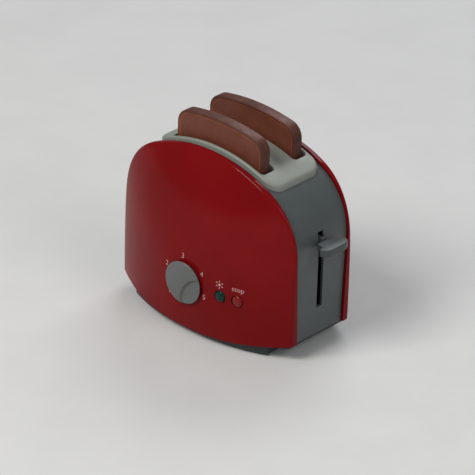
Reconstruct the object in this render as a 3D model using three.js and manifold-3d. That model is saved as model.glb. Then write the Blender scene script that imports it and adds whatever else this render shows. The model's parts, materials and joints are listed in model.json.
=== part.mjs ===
// Toy toaster with two bread slots, a push-down lever and a wind-up timer.
// Millimetres, +Z up. X runs along the slots towards the lever, and -Y is the front with the knob.
// The origin is the centre of the base plate's underside.
import * as THREE from "three";
import { mergeVertices } from "three/addons/utils/BufferGeometryUtils.js";
import Module from "manifold-3d";

const wasm = await Module();
wasm.setup();

// Body outline, seen from the front: two upright sides, two shoulder arcs and a top arc
const endBay = 27.3;
const bodyHeight = 145.5;
const shoulderRadius = 53.5;
const topRadius = 130;
const sideFootHeight = 11.5;
const smileHeight = 3.5;

// Front and rear domes
const domeSideLand = 1;
const domePlanRadius = 165;
const domeTopLand = 2.45;
const domeWaistHeight = 38.5;
const domeBlendPower = 1.5;
const shellWall = 2.2;
const shellEdgeRadius = 1.5;
const rimDepthTop = 31;
const rimDepthBottom = 25.5;
const seamGap = 0.3;

// Housing, the grey arch between the shells
const housingWall = 2.2;
const leverSlotWidth = 6;
const leverSlotFootroom = 5.5;
const leverSlotHeadroom = 4.5;
const bossRadius = 4;
const bossHeight = 17;
const bossInset = 11;
const bossSpread = 17;

// Collar round the bread slots
const collarEndBar = 14;
const collarSetback = 3.6;
const collarSideBar = 2.9;
const collarCornerRadius = 11;
const collarProud = 4;
const collarThickness = 10.4;
const slotEndGap = 3;
const slotSideGap = 2.05;
const slotCornerRadius = 3;

// Chute walls
const chuteWall = 1.4;
const chuteBottom = 29;
const chuteEndGap = 2;
const ribWidth = 1.6;

// Toasts
const toastWidth = 86;
const toastHeight = 89.2;
const toastThickness = 9.5;
const toastTopCorner = 12;
const toastLowCorner = 6;
const toastCrownRise = 3;
const crustWidth = 2.2;
const crustRecess = 0.6;
const toastBevel = 1.2;

// Carriage, lever and their guide
const restDrop = 68;
const carriageFloor = 32.5;
const restThickness = 2.6;
const restWidth = 8;
const ribShare = 0.83;
const crossBarGap = 5;
const crossBarWidth = 6;
const rodBay = 10;
const rodRadius = 2;
const bushRadius = 5;
const bushLength = 20;
const slidingGap = 0.25;
const leverRise = 11;
const stemHeight = 8;
const stemWidth = 4;
const leverReach = 14.5;
const leverWidth = 28;
const leverRootWidth = 17;
const leverThickness = 6;
const leverBevel = 1.4;

// Carriage spring round the guide rod
const springRadius = 3.6;
const springWire = 0.9;
const springTurns = 16;

// Base, feet and screws
const baseInset = 3.2;
const baseFloor = 2.4;
const baseWall = 2;
const shelfLength = 19.3;
const shelfThickness = 3.4;
const footRadius = 6;
const footHeight = 1.5;
const footEndMargin = 12;
const footMargin = 6.5;
const footPocket = 0.8;
const screwHeadRadius = 3;
const screwHeadHeight = 1.6;
const screwShankRadius = 1.4;
const screwLength = 12;

// Knob and its shaft
const knobHeight = 43.6;
const knobRadius = 17.3;
const knobThickness = 3.4;
const knobTaper = 1;
const knobFloor = 2.1;
const knobCrown = 0.7;
const knobEdgeRadius = 0.9;
const knobGap = 0.5;
const scoopRadius = 24.2;
const scoopOffsetX = 23.5;
const scoopDrop = 15.9;
const scoopDepth = 1.25;
const scoopSlopeShare = 0.8;
const shaftRadius = 2.5;
const shaftHoleRadius = 4;

// Push buttons
const buttonRadius = 4.5;
const buttonDome = 1.8;
const buttonFlangeRadius = 5.8;
const buttonFlange = 1.2;
const buttonStemRadius = 1.8;
const buttonStemTail = 1.5;
const buttonHeight = 42.6;
const greenX = 33;
const redX = 47.2;
const bracketSetback = 17.4;
const bracketThickness = 1.6;
const bracketHeight = 26;
const bracketEnd = 8.5;
const postRadius = 2.6;
const buttonSpringWire = 0.6;
const buttonSpringTurns = 4;

// Timer
const greatWheelRadius = 19;
const greatTeeth = 38;
const secondTeeth = 32;
const pinionTeeth = 10;
const gearPlay = 0.25;
const pressureAngle = 20;
const toothTipShare = 0.85;
const toothRootShare = 1.1;
const pinionHubShare = 0.7;
const secondBearing = 125;
const governorBearing = 50;
const gearThickness = 1.7;
const plateClearance = 0.4;
const plateThickness = 1.4;
const plateMargin = 7;
const pillarRadius = 2.2;
const arborRadius = 1.2;
const governorRadius = 9;
const governorVanes = 6;
const stripWidth = 3;
const stripThickness = 0.6;
const stripTurns = 5;
const stripInnerRadius = 3;
const stripPitch = 2;

// Latch beside the guide rod
const latchRodGap = 10.4;
const latchOffset = 9;
const latchWidth = 4.6;
const latchThickness = 2.6;
const latchPivotHeight = 9;
const latchClearance = 0.7;
const noseReach = 2;
const noseHeight = 2.6;
const latchPinRadius = 1.2;
const catchWidth = 3.2;
const catchHeight = 4;

// Clearance that resting pieces keep, and how far a cutting solid overruns
const seatGap = 0.3;
const overrun = 4;

// Lengths along the body: slots, chutes, collar, housing, base and latch
const slotLength = toastWidth + 2 * slotEndGap;
const chuteHalfLength = slotLength / 2 + chuteEndGap;
const collarHalfLength = slotLength / 2 + collarEndBar;
const crossBarX = chuteHalfLength + crossBarGap;
const bodyHalfWidth = collarHalfLength + endBay;
const panHalfLength = bodyHalfWidth - shelfLength;
const footX = panHalfLength - footEndMargin;
const rodX = collarHalfLength + rodBay;
const latchX = rodX - latchRodGap;

// Depths from the middle plane: dome, collar and slots
const domeDepth = rimDepthTop + domeSideLand + arcSag(domePlanRadius, bodyHalfWidth);
const domeTopDrop = domeDepth - rimDepthTop - domeTopLand;
const domeRiseRadius = domeTopDrop / 2 + (bodyHeight - domeWaistHeight) ** 2 / (2 * domeTopDrop);
const collarHalfWidth = rimDepthTop - collarSetback;
const slotWidth = toastThickness + 2 * slotSideGap;
const slotOffset = collarHalfWidth - collarSideBar - slotWidth / 2;

// Heights: the lever, its slot and the latch follow the carriage and its travel
const restHeight = bodyHeight - restDrop;
const carriageTravel = restHeight - carriageFloor;
const leverHeight = restHeight + leverRise;
const leverSlotLow = leverHeight - stemHeight / 2 - carriageTravel - leverSlotFootroom;
const leverSlotHigh = leverHeight + stemHeight / 2 + leverSlotHeadroom;
const restLow = restHeight - restThickness;
const latchTop = restLow - carriageTravel + catchHeight + latchClearance + noseHeight;

// Faceting
const roundSegments = 24;
const smallSegments = 12;
const archSegments = 20;
const sideSegments = 8;
const edgeSegments = 3;
const curveSegments = 5;
const bevelSegments = 2;
const helixSteps = 8;
const spiralSteps = 16;
const wireSides = 5;
const mergeTolerance = 1e-4;

const colours = {
  shellRed: { color: 0x7a0f12, roughness: 0.18, metalness: 0 },
  housingGrey: { color: 0x4a5152, roughness: 0.5, metalness: 0 },
  collarGrey: { color: 0x8d9690, roughness: 0.45, metalness: 0 },
  baseGrey: { color: 0x25282a, roughness: 0.6, metalness: 0 },
  knobGrey: { color: 0x646a69, roughness: 0.4, metalness: 0 },
  leverGrey: { color: 0x2b3133, roughness: 0.45, metalness: 0 },
  toastBrown: { color: 0x6d382a, roughness: 0.55, metalness: 0 },
  greenGloss: { color: 0x0a3f33, roughness: 0.12, metalness: 0 },
  redGloss: { color: 0x96150f, roughness: 0.12, metalness: 0 },
  innerWhite: { color: 0xc9c9c4, roughness: 0.5, metalness: 0 },
  steel: { color: 0x9a9da0, roughness: 0.3, metalness: 1 },
  brass: { color: 0xb08d46, roughness: 0.35, metalness: 1 },
  rubber: { color: 0x1c1c1c, roughness: 0.9, metalness: 0 },
};

const toaster = new THREE.Group();
toaster.name = "toy_toaster";

function addPiece(name, geometry, finish) {
  const drawn = geometry.index ? geometry.toNonIndexed() : geometry;
  drawn.computeVertexNormals();
  const mesh = new THREE.Mesh(drawn, new THREE.MeshStandardMaterial(colours[finish]));
  mesh.name = name;
  toaster.add(mesh);
  return mesh;
}

// Solids for cutting and joining
function solid(geometry) {
  const bare = geometry.clone();
  bare.deleteAttribute("normal");
  bare.deleteAttribute("uv");
  const merged = mergeVertices(bare, mergeTolerance);
  return new wasm.Manifold(
    new wasm.Mesh({
      numProp: 3,
      vertProperties: new Float32Array(merged.attributes.position.array),
      triVerts: new Uint32Array(merged.index.array),
    })
  );
}

function surface(body) {
  const mesh = body.getMesh();
  const geometry = new THREE.BufferGeometry();
  geometry.setAttribute("position", new THREE.BufferAttribute(new Float32Array(mesh.vertProperties), 3));
  geometry.setIndex(new THREE.BufferAttribute(new Uint32Array(mesh.triVerts), 1));
  return geometry;
}

function joined(first, ...others) {
  return others.reduce((body, other) => body.add(other), first);
}

function block(lowX, highX, lowY, highY, lowZ, highZ) {
  const geometry = new THREE.BoxGeometry(highX - lowX, highY - lowY, highZ - lowZ);
  geometry.translate((lowX + highX) / 2, (lowY + highY) / 2, (lowZ + highZ) / 2);
  return solid(geometry);
}

// A round bar along Y, from the front depth to the rear depth, both counted towards the front
function taperAlongY(x, z, frontRadius, rearRadius, frontDepth, rearDepth, segments) {
  const geometry = new THREE.CylinderGeometry(rearRadius, frontRadius, frontDepth - rearDepth, segments);
  geometry.translate(x, -(frontDepth + rearDepth) / 2, z);
  return solid(geometry);
}

function barAlongY(x, z, radius, frontDepth, rearDepth, segments = smallSegments) {
  return taperAlongY(x, z, radius, radius, frontDepth, rearDepth, segments);
}

function barAlongZ(x, y, radius, lowZ, highZ, segments = smallSegments) {
  const geometry = new THREE.CylinderGeometry(radius, radius, highZ - lowZ, segments);
  geometry.rotateX(Math.PI / 2);
  geometry.translate(x, y, (lowZ + highZ) / 2);
  return solid(geometry);
}

// A shape drawn in X and Z, thickened along Y between two depths counted towards the front
function slabAlongY(shape, frontDepth, rearDepth, bevel = 0) {
  const geometry = new THREE.ExtrudeGeometry(shape, {
    depth: frontDepth - rearDepth - 2 * bevel,
    bevelEnabled: bevel > 0,
    bevelThickness: bevel,
    bevelSize: bevel,
    bevelOffset: -bevel,
    bevelSegments,
    curveSegments,
  });
  geometry.rotateX(Math.PI / 2);
  geometry.translate(0, -rearDepth - bevel, 0);
  return geometry;
}

// A shape drawn in X and Y, raised along Z
function slabAlongZ(shape, lowZ, highZ, bevel = 0) {
  const geometry = new THREE.ExtrudeGeometry(shape, {
    depth: highZ - lowZ - 2 * bevel,
    bevelEnabled: bevel > 0,
    bevelThickness: bevel,
    bevelSize: bevel,
    bevelOffset: -bevel,
    bevelSegments,
    curveSegments,
  });
  geometry.translate(0, 0, lowZ + bevel);
  return geometry;
}

function roundedBox(halfX, halfY, radius, centreX = 0, centreY = 0) {
  const shape = new THREE.Shape();
  const right = centreX + halfX - radius;
  const left = centreX - halfX + radius;
  const high = centreY + halfY - radius;
  const low = centreY - halfY + radius;
  shape.absarc(right, low, radius, -Math.PI / 2, 0);
  shape.absarc(right, high, radius, 0, Math.PI / 2);
  shape.absarc(left, high, radius, Math.PI / 2, Math.PI);
  shape.absarc(left, low, radius, Math.PI, 1.5 * Math.PI);
  shape.closePath();
  return shape;
}

// Body outline: where the side meets the shoulder arc, and the shoulder arc the top arc
const shoulderX = bodyHalfWidth - shoulderRadius;
const topCentreZ = bodyHeight - topRadius;
const shoulderZ = topCentreZ + Math.sqrt((topRadius - shoulderRadius) ** 2 - shoulderX ** 2);
const shoulderTurn = Math.atan2(shoulderZ - topCentreZ, shoulderX);

// A point of the arch, from the right shoulder's foot (share 0) to the left one's (share 1)
function archPoint(share, inset) {
  const mirrored = share > 0.5;
  const half = mirrored ? 1 - share : share;
  const shoulderLength = shoulderRadius * shoulderTurn;
  const topLength = topRadius * (Math.PI / 2 - shoulderTurn);
  const along = 2 * half * (shoulderLength + topLength);
  const onShoulder = along < shoulderLength;
  const turn = onShoulder ? along / shoulderRadius : shoulderTurn + (along - shoulderLength) / topRadius;
  const radius = (onShoulder ? shoulderRadius : topRadius) - inset;
  const x = (onShoulder ? shoulderX : 0) + radius * Math.cos(turn);
  const z = (onShoulder ? shoulderZ : topCentreZ) + radius * Math.sin(turn);
  return { x: mirrored ? -x : x, z };
}

// Height of the arch over a place along the body
function archHeight(x, inset) {
  const reach = Math.abs(x);
  if (reach < (topRadius - inset) * Math.cos(shoulderTurn)) {
    return topCentreZ + Math.sqrt((topRadius - inset) ** 2 - reach ** 2);
  }
  const over = Math.min(reach - shoulderX, shoulderRadius - inset);
  return shoulderZ + Math.sqrt((shoulderRadius - inset) ** 2 - over ** 2);
}

// The shells' lower edge curves up towards the ends
function shellFoot(x) {
  return smileHeight + (sideFootHeight - smileHeight) * (x / bodyHalfWidth) ** 2;
}

function arcSag(radius, distance) {
  return radius - Math.sqrt(radius ** 2 - distance ** 2);
}

// How far the dome stands in front of the body's middle plane
function domeAt(x, z) {
  const planSag = arcSag(domePlanRadius, x);
  const riseSag = arcSag(domeRiseRadius, z - domeWaistHeight);
  const power = domeBlendPower;
  return domeDepth - (planSag ** power + riseSag ** power) ** (1 / power);
}

function rimAt(z) {
  return rimDepthBottom + (rimDepthTop - rimDepthBottom) * (z / bodyHeight);
}

// The U-shaped path up the right side, over the arch and down the left side
const pathCount = archSegments + 2 * sideSegments;

function columnPoint(column, row, inset) {
  const top = archPoint(column / archSegments, inset);
  const foot = shellFoot(top.x);
  return { x: top.x, z: foot + (top.z - foot) * (row / sideSegments) };
}

function pathPlace(step) {
  if (step < sideSegments) {
    return { column: 0, row: step };
  }
  if (step <= sideSegments + archSegments) {
    return { column: step - sideSegments, row: sideSegments };
  }
  return { column: archSegments, row: pathCount - step };
}

// One face of a shell: a grid over the dome, a rounded edge and a return down to the rim
function shellSheet(inset) {
  const points = [];
  const grid = [];
  for (let column = 0; column <= archSegments; column++) {
    grid.push([]);
    for (let row = 0; row <= sideSegments; row++) {
      const place = columnPoint(column, row, inset + shellEdgeRadius);
      grid[column].push(points.length);
      points.push([place.x, domeAt(place.x, place.z) - inset, place.z]);
    }
  }
  const rings = [[]];
  for (let step = 0; step <= pathCount; step++) {
    const { column, row } = pathPlace(step);
    rings[0].push(grid[column][row]);
  }
  for (let ring = 1; ring <= edgeSegments + 1; ring++) {
    const turn = (Math.min(ring, edgeSegments) / edgeSegments) * (Math.PI / 2);
    const ringInset = inset + shellEdgeRadius * (1 - Math.sin(turn));
    const drop = shellEdgeRadius * (1 - Math.cos(turn));
    rings.push([]);
    for (let step = 0; step <= pathCount; step++) {
      const { column, row } = pathPlace(step);
      const place = columnPoint(column, row, ringInset);
      const depth = ring > edgeSegments ? rimAt(place.z) : domeAt(place.x, place.z) - inset - drop;
      rings[ring].push(points.length);
      points.push([place.x, Math.max(depth, rimAt(place.z)), place.z]);
    }
  }
  return { points, grid, rings };
}

function shellGeometry(side) {
  const outer = shellSheet(0);
  const inner = shellSheet(shellWall);
  const positions = [];
  const index = [];
  for (const [x, depth, z] of [...outer.points, ...inner.points]) {
    positions.push(x, side * depth, z);
  }
  const innerStart = outer.points.length;
  function quad(a, b, c, d) {
    index.push(a, b, c, a, c, d);
  }
  function twoFaces(a, b, c, d) {
    quad(a, b, c, d);
    quad(d + innerStart, c + innerStart, b + innerStart, a + innerStart);
  }
  const { grid, rings } = outer;
  for (let column = 0; column < archSegments; column++) {
    for (let row = 0; row < sideSegments; row++) {
      twoFaces(grid[column][row], grid[column][row + 1], grid[column + 1][row + 1], grid[column + 1][row]);
    }
  }
  for (let ring = 0; ring < rings.length - 1; ring++) {
    for (let step = 0; step < pathCount; step++) {
      twoFaces(rings[ring][step], rings[ring + 1][step], rings[ring + 1][step + 1], rings[ring][step + 1]);
    }
  }
  const border = [...rings[rings.length - 1]];
  for (let ring = rings.length - 2; ring > 0; ring--) {
    border.push(rings[ring][pathCount]);
  }
  for (let column = archSegments; column >= 0; column--) {
    border.push(grid[column][0]);
  }
  for (let ring = 1; ring < rings.length - 1; ring++) {
    border.push(rings[ring][0]);
  }
  for (let step = 0; step < border.length; step++) {
    const here = border[step];
    const next = border[(step + 1) % border.length];
    quad(here, here + innerStart, next + innerStart, next);
  }
  const geometry = new THREE.BufferGeometry();
  geometry.setAttribute("position", new THREE.BufferAttribute(new Float32Array(positions), 3));
  geometry.setIndex(side < 0 ? index : index.reverse());
  return geometry;
}

// A closed skin over rings that each have the same number of points, capped at both ends
function loft(rings) {
  const count = rings[0].length;
  const index = [];
  for (let ring = 0; ring < rings.length - 1; ring++) {
    for (let corner = 0; corner < count; corner++) {
      const a = ring * count + corner;
      const b = ring * count + ((corner + 1) % count);
      index.push(a, b, b + count, a, b + count, a + count);
    }
  }
  const last = (rings.length - 1) * count;
  for (let corner = 1; corner < count - 1; corner++) {
    index.push(0, corner + 1, corner);
    index.push(last, last + corner, last + corner + 1);
  }
  const geometry = new THREE.BufferGeometry();
  geometry.setAttribute("position", new THREE.BufferAttribute(new Float32Array(rings.flat(2)), 3));
  geometry.setIndex(index);
  return geometry;
}

// A band that follows the body's outline from foot to foot, between two insets
function archBand(outerInset, innerInset, footZ, halfWidthAt) {
  const rings = [];
  for (let step = 0; step <= pathCount; step++) {
    const { column, row } = pathPlace(step);
    const share = row / sideSegments;
    const corners = [outerInset, innerInset].map((inset) => {
      const top = archPoint(column / archSegments, inset);
      return { x: top.x, z: footZ + (top.z - footZ) * share };
    });
    const [out, inn] = corners;
    rings.push([
      [out.x, -halfWidthAt(out.z), out.z],
      [out.x, halfWidthAt(out.z), out.z],
      [inn.x, halfWidthAt(inn.z), inn.z],
      [inn.x, -halfWidthAt(inn.z), inn.z],
    ]);
  }
  return solid(loft(rings));
}

// A helix of round wire about Z, from its foot to its top
function helixGeometry(radius, wire, height, turns) {
  class Helix extends THREE.Curve {
    getPoint(share, target = new THREE.Vector3()) {
      const turn = share * turns * 2 * Math.PI;
      return target.set(radius * Math.cos(turn), radius * Math.sin(turn), share * height);
    }
  }
  return tubeAlong(new Helix(), wire / 2, turns * helixSteps, wireSides);
}

// A closed tube round a curve that never runs along Z for long
function tubeAlong(curve, radius, steps, sides) {
  const rings = [];
  const up = new THREE.Vector3(0, 0, 1);
  for (let step = 0; step <= steps; step++) {
    const centre = curve.getPoint(step / steps);
    const ahead = curve.getTangent(step / steps);
    const across = new THREE.Vector3().crossVectors(ahead, up).normalize();
    const rise = new THREE.Vector3().crossVectors(across, ahead);
    rings.push([]);
    for (let side = 0; side < sides; side++) {
      const turn = -(side / sides) * 2 * Math.PI;
      const point = centre.clone();
      point.addScaledVector(across, radius * Math.cos(turn));
      point.addScaledVector(rise, radius * Math.sin(turn));
      rings[step].push(point.toArray());
    }
  }
  return loft(rings);
}

// Shells
function makeShells() {
  const hole = (x, z, radius) => barAlongY(x, z, radius, domeDepth + overrun, rimDepthBottom, roundSegments);
  const post = (x, z, rearDepth) => barAlongY(x, z, postRadius, domeAt(x, z) - shellWall / 2, rearDepth);
  let front = solid(shellGeometry(-1));
  front = front.subtract(hole(0, knobHeight, shaftHoleRadius));
  front = front.subtract(hole(greenX, buttonHeight, buttonRadius + seatGap));
  front = front.subtract(hole(redX, buttonHeight, buttonRadius + seatGap));
  const plateTop = frontPlateDepth + seatGap;
  const bracketTop = bracketDepth + seatGap;
  const posts = timerPosts.map(([x, z]) => post(x, z, plateTop));
  posts.push(...bracketPosts.map(([x, z]) => post(x, z, bracketTop)));
  addPiece("front_shell", surface(joined(front, ...posts)), "shellRed");
  addPiece("rear_shell", shellGeometry(1), "shellRed");
}

// Timer and button places that more than one piece shares
const greatPitch = greatWheelRadius;
const secondPitch = (greatWheelRadius * secondTeeth) / greatTeeth;
const pinionPitch = (greatWheelRadius * pinionTeeth) / greatTeeth;
const toothSize = (2 * greatWheelRadius) / greatTeeth;
const degree = Math.PI / 180;
const secondReach = greatPitch + pinionPitch + gearPlay;
const secondX = secondReach * Math.cos(secondBearing * degree);
const secondZ = knobHeight + secondReach * Math.sin(secondBearing * degree);
const governorReach = secondPitch + pinionPitch + gearPlay;
const governorX = secondX + governorReach * Math.cos(governorBearing * degree);
const governorZ = secondZ + governorReach * Math.sin(governorBearing * degree);
const plateLeft = secondX - secondPitch - plateMargin;
const plateRight = greatPitch + plateMargin;
const plateLow = knobHeight - greatPitch - plateMargin / 2;
const plateHigh = governorZ + plateMargin;
const timerPosts = [
  [plateLeft + plateMargin / 2, plateLow + plateMargin / 2],
  [plateRight - plateMargin / 2, plateLow + plateMargin / 2],
  [plateLeft + plateMargin / 2, plateHigh - plateMargin / 2],
  [plateRight - plateMargin / 2, plateHigh - plateMargin / 2],
];
const bracketMiddle = (greenX + redX) / 2;
const bracketReach = bracketHeight / 2 - postRadius - seatGap;
const bracketPosts = [
  [bracketMiddle, buttonHeight - bracketReach],
  [bracketMiddle, buttonHeight + bracketReach],
];

// Depths counted towards the front: the timer's layers share the room left before the chutes
const chuteFrontDepth = slotOffset + slotWidth / 2 + chuteWall;
const frontPlateDepth = domeAt(plateLeft, plateHigh) - shellWall - plateClearance;
const timerStack = 2 * plateThickness + stripWidth + 3 * gearThickness;
const timerGaps = 6;
const timerGap = (frontPlateDepth - chuteFrontDepth - timerStack) / timerGaps;
const springStripDepth = frontPlateDepth - plateThickness - timerGap;
const greatDepth = springStripDepth - stripWidth - timerGap;
const secondDepth = greatDepth - gearThickness - timerGap;
const governorDepth = secondDepth - gearThickness - timerGap;
const rearPlateDepth = governorDepth - gearThickness - timerGap;
const bracketDepth = domeDepth - bracketSetback;

// Housing with its end walls, lever slot, screw bosses and the guide rod's socket
const housingInset = shellWall;
const innerInset = housingInset + housingWall;
const bossX = bodyHalfWidth - bossInset;
const housingFoot = sideFootHeight;
const shelfTop = sideFootHeight - seatGap;
const shelfFoot = shelfTop - shelfThickness;
const collarUnderInset = housingInset - collarProud + collarThickness;
const rodTop = archHeight(rodX + bushRadius, collarUnderInset);

function makeHousing() {
  let housing = archBand(housingInset, innerInset, sideFootHeight, (z) => rimAt(z) - seamGap);
  const roofMiddle = housingInset + housingWall / 2;
  const overRoof = archBand(-bushRadius - overrun, roofMiddle, sideFootHeight, () => collarHalfWidth);
  const socket = barAlongZ(rodX, 0, bushRadius, rodTop, archHeight(rodX - bushRadius, roofMiddle));
  housing = housing.add(socket.subtract(overRoof));
  const opening = slabAlongZ(
    roundedBox(collarHalfLength + seatGap, collarHalfWidth + seatGap, collarCornerRadius + seatGap),
    shoulderZ,
    bodyHeight + overrun
  );
  housing = housing.subtract(solid(opening));
  const slot = block(
    shoulderX,
    bodyHalfWidth + overrun,
    -leverSlotWidth / 2,
    leverSlotWidth / 2,
    leverSlotLow,
    leverSlotHigh
  );
  housing = housing.subtract(slot);
  for (const sideX of [-1, 1]) {
    for (const sideY of [-1, 1]) {
      const x = sideX * bossX;
      const y = sideY * bossSpread;
      const wallX = sideX * (bodyHalfWidth - innerInset + housingWall / 2);
      const web = block(
        Math.min(x, wallX),
        Math.max(x, wallX),
        y - bossRadius / 2,
        y + bossRadius / 2,
        housingFoot,
        housingFoot + bossHeight
      );
      const boss = barAlongZ(x, y, bossRadius, housingFoot, housingFoot + bossHeight);
      const bore = barAlongZ(x, y, screwShankRadius + slidingGap, 0, shelfFoot + screwLength + seatGap);
      housing = joined(housing, web, boss).subtract(bore);
    }
  }
  addPiece("housing", surface(housing), "housingGrey");
}

// Collar that follows the arch and stands a little proud of it
function makeCollar() {
  const outline = roundedBox(collarHalfLength, collarHalfWidth, collarCornerRadius);
  for (const side of [-1, 1]) {
    outline.holes.push(roundedBox(slotLength / 2, slotWidth / 2, slotCornerRadius, 0, side * slotOffset));
  }
  const column = solid(slabAlongZ(outline, shoulderZ, bodyHeight + overrun));
  const bandHalf = collarHalfWidth + overrun;
  const band = archBand(housingInset - collarProud, collarUnderInset, sideFootHeight, () => bandHalf);
  addPiece("slot_collar", surface(column.intersect(band)), "collarGrey");
}

// Chute walls that hang under the collar, on both sides of each slot
function makeChuteWall(name, middleY) {
  const shape = new THREE.Shape();
  shape.moveTo(-chuteHalfLength, chuteBottom);
  shape.lineTo(chuteHalfLength, chuteBottom);
  for (let step = 0; step <= archSegments; step++) {
    const x = chuteHalfLength * (1 - (2 * step) / archSegments);
    shape.lineTo(x, archHeight(x, collarUnderInset + seatGap));
  }
  shape.closePath();
  addPiece(name, slabAlongY(shape, chuteWall / 2 - middleY, -chuteWall / 2 - middleY), "innerWhite");
}

function makeChutes() {
  const wallOffset = (slotWidth + chuteWall) / 2;
  makeChuteWall("front_chute_wall", -slotOffset - wallOffset);
  makeChuteWall("front_divider_wall", -slotOffset + wallOffset);
  makeChuteWall("rear_divider_wall", slotOffset - wallOffset);
  makeChuteWall("rear_chute_wall", slotOffset + wallOffset);
}

// A slice with a low crown, a raised crust line and rounded edges
function toastShape(inset) {
  const shape = new THREE.Shape();
  const half = toastWidth / 2 - inset;
  const top = toastHeight - inset;
  const low = inset;
  const topCorner = toastTopCorner - inset;
  const lowCorner = toastLowCorner - inset / 2;
  const shoulder = top - toastCrownRise - topCorner;
  shape.moveTo(-half + lowCorner, low);
  shape.lineTo(half - lowCorner, low);
  shape.absarc(half - lowCorner, low + lowCorner, lowCorner, -Math.PI / 2, 0);
  shape.lineTo(half, shoulder);
  shape.absarc(half - topCorner, shoulder, topCorner, 0, Math.PI / 2 - toastLean);
  const foot = crownFoot(inset);
  shape.quadraticCurveTo(0, 2 * top - foot, -half + topCorner * (1 - Math.sin(toastLean)), foot);
  shape.absarc(-half + topCorner, shoulder, topCorner, Math.PI / 2 + toastLean, Math.PI);
  shape.lineTo(-half, low + lowCorner);
  shape.absarc(-half + lowCorner, low + lowCorner, lowCorner, Math.PI, 1.5 * Math.PI);
  shape.closePath();
  return shape;
}
const toastLean = Math.atan2(2 * toastCrownRise, toastWidth / 2);

function crownFoot(inset) {
  const topCorner = toastTopCorner - inset;
  return toastHeight - inset - toastCrownRise - topCorner + topCorner * Math.cos(toastLean);
}

function makeToasts() {
  for (const [name, side] of [["toast_front", -1], ["toast_rear", 1]]) {
    const half = toastThickness / 2;
    let toast = solid(slabAlongY(toastShape(0), half, -half, toastBevel));
    toast = toast.subtract(solid(slabAlongY(toastShape(crustWidth), half + overrun, half - crustRecess)));
    toast = toast.subtract(solid(slabAlongY(toastShape(crustWidth), crustRecess - half, -half - overrun)));
    const mesh = addPiece(name, surface(toast), "toastBrown");
    mesh.position.set(0, side * slotOffset, restHeight + seatGap);
  }
}

// Carriage: two bread rests, a cross bar, a bush on the guide rod, a catch and the lever's stem
const stemEndX = bodyHalfWidth + seatGap;
const catchX = latchX + latchThickness / 2 + seatGap + noseReach;

function makeCarriage() {
  const restEnd = crossBarX + crossBarWidth / 2;
  const barHigh = restHeight + restThickness;
  const pieces = [];
  for (const side of [-1, 1]) {
    const y = side * slotOffset;
    pieces.push(block(-toastWidth / 2, restEnd, y - restWidth / 2, y + restWidth / 2, restLow, restHeight));
    const ribStart = restEnd - ribShare * toastWidth;
    const ribLow = restLow - restThickness;
    pieces.push(block(ribStart, restEnd, y - ribWidth / 2, y + ribWidth / 2, ribLow, restHeight));
  }
  const reach = slotOffset + restWidth / 2;
  pieces.push(block(crossBarX - crossBarWidth / 2, restEnd, -reach, reach, restLow, barHigh));
  pieces.push(block(crossBarX, rodX, -stemWidth, stemWidth, restLow, barHigh));
  pieces.push(barAlongZ(rodX, 0, bushRadius, restLow, restLow + bushLength, roundSegments));
  const stemLow = leverHeight - stemHeight / 2;
  pieces.push(block(rodX, stemEndX, -stemWidth / 2, stemWidth / 2, stemLow, stemLow + stemHeight));
  pieces.push(
    block(catchX, catchX + catchWidth, 0, latchOffset + latchWidth / 2, restLow, restLow + catchHeight)
  );
  const bore = barAlongZ(rodX, 0, rodRadius + slidingGap, restLow - overrun, restLow + bushLength + overrun);
  const carriage = joined(...pieces).subtract(bore);
  addPiece("carriage", surface(carriage), "innerWhite");
}

function makeLever() {
  const rootHalf = leverRootWidth / 2;
  const tipHalf = leverWidth / 2;
  const shape = new THREE.Shape();
  const start = stemEndX + seatGap;
  const end = start + leverReach;
  const middle = start + leverReach / 2;
  shape.moveTo(start, -rootHalf);
  shape.quadraticCurveTo(middle, -rootHalf, middle, -tipHalf);
  shape.bezierCurveTo(end, -tipHalf, end, -rootHalf, end, 0);
  shape.bezierCurveTo(end, rootHalf, end, tipHalf, middle, tipHalf);
  shape.quadraticCurveTo(middle, rootHalf, start, rootHalf);
  shape.closePath();
  const low = leverHeight - leverThickness / 2;
  const handle = slabAlongZ(shape, low, low + leverThickness, leverBevel);
  addPiece("lever_handle", handle, "leverGrey");
}

// Guide rod between the base's shelf and the socket under the roof, with the return spring round it
const rodFoot = shelfTop + seatGap;

function makeGuide() {
  addPiece("guide_rod", surface(barAlongZ(rodX, 0, rodRadius, rodFoot, rodTop - seatGap)), "steel");
  const springFoot = rodFoot + springWire / 2;
  const springTop = restHeight - restThickness - seatGap - springWire / 2;
  const spring = helixGeometry(springRadius, springWire, springTop - springFoot, springTurns);
  const mesh = addPiece("carriage_spring", spring, "steel");
  mesh.position.set(rodX, 0, springFoot);
}

// Base outline that runs inside the domes, up to a given half length
function baseShape(half, inset) {
  const shape = new THREE.Shape();
  const points = [];
  for (let step = 0; step <= archSegments; step++) {
    const x = half * ((2 * step) / archSegments - 1);
    points.push([x, domeAt(x, 0) - baseInset - inset]);
  }
  const [firstX, firstDepth] = points[0];
  shape.moveTo(firstX, firstDepth);
  points.forEach(([x, depth]) => shape.lineTo(x, -depth));
  points.reverse().forEach(([x, depth]) => shape.lineTo(x, depth));
  shape.closePath();
  return shape;
}

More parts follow.
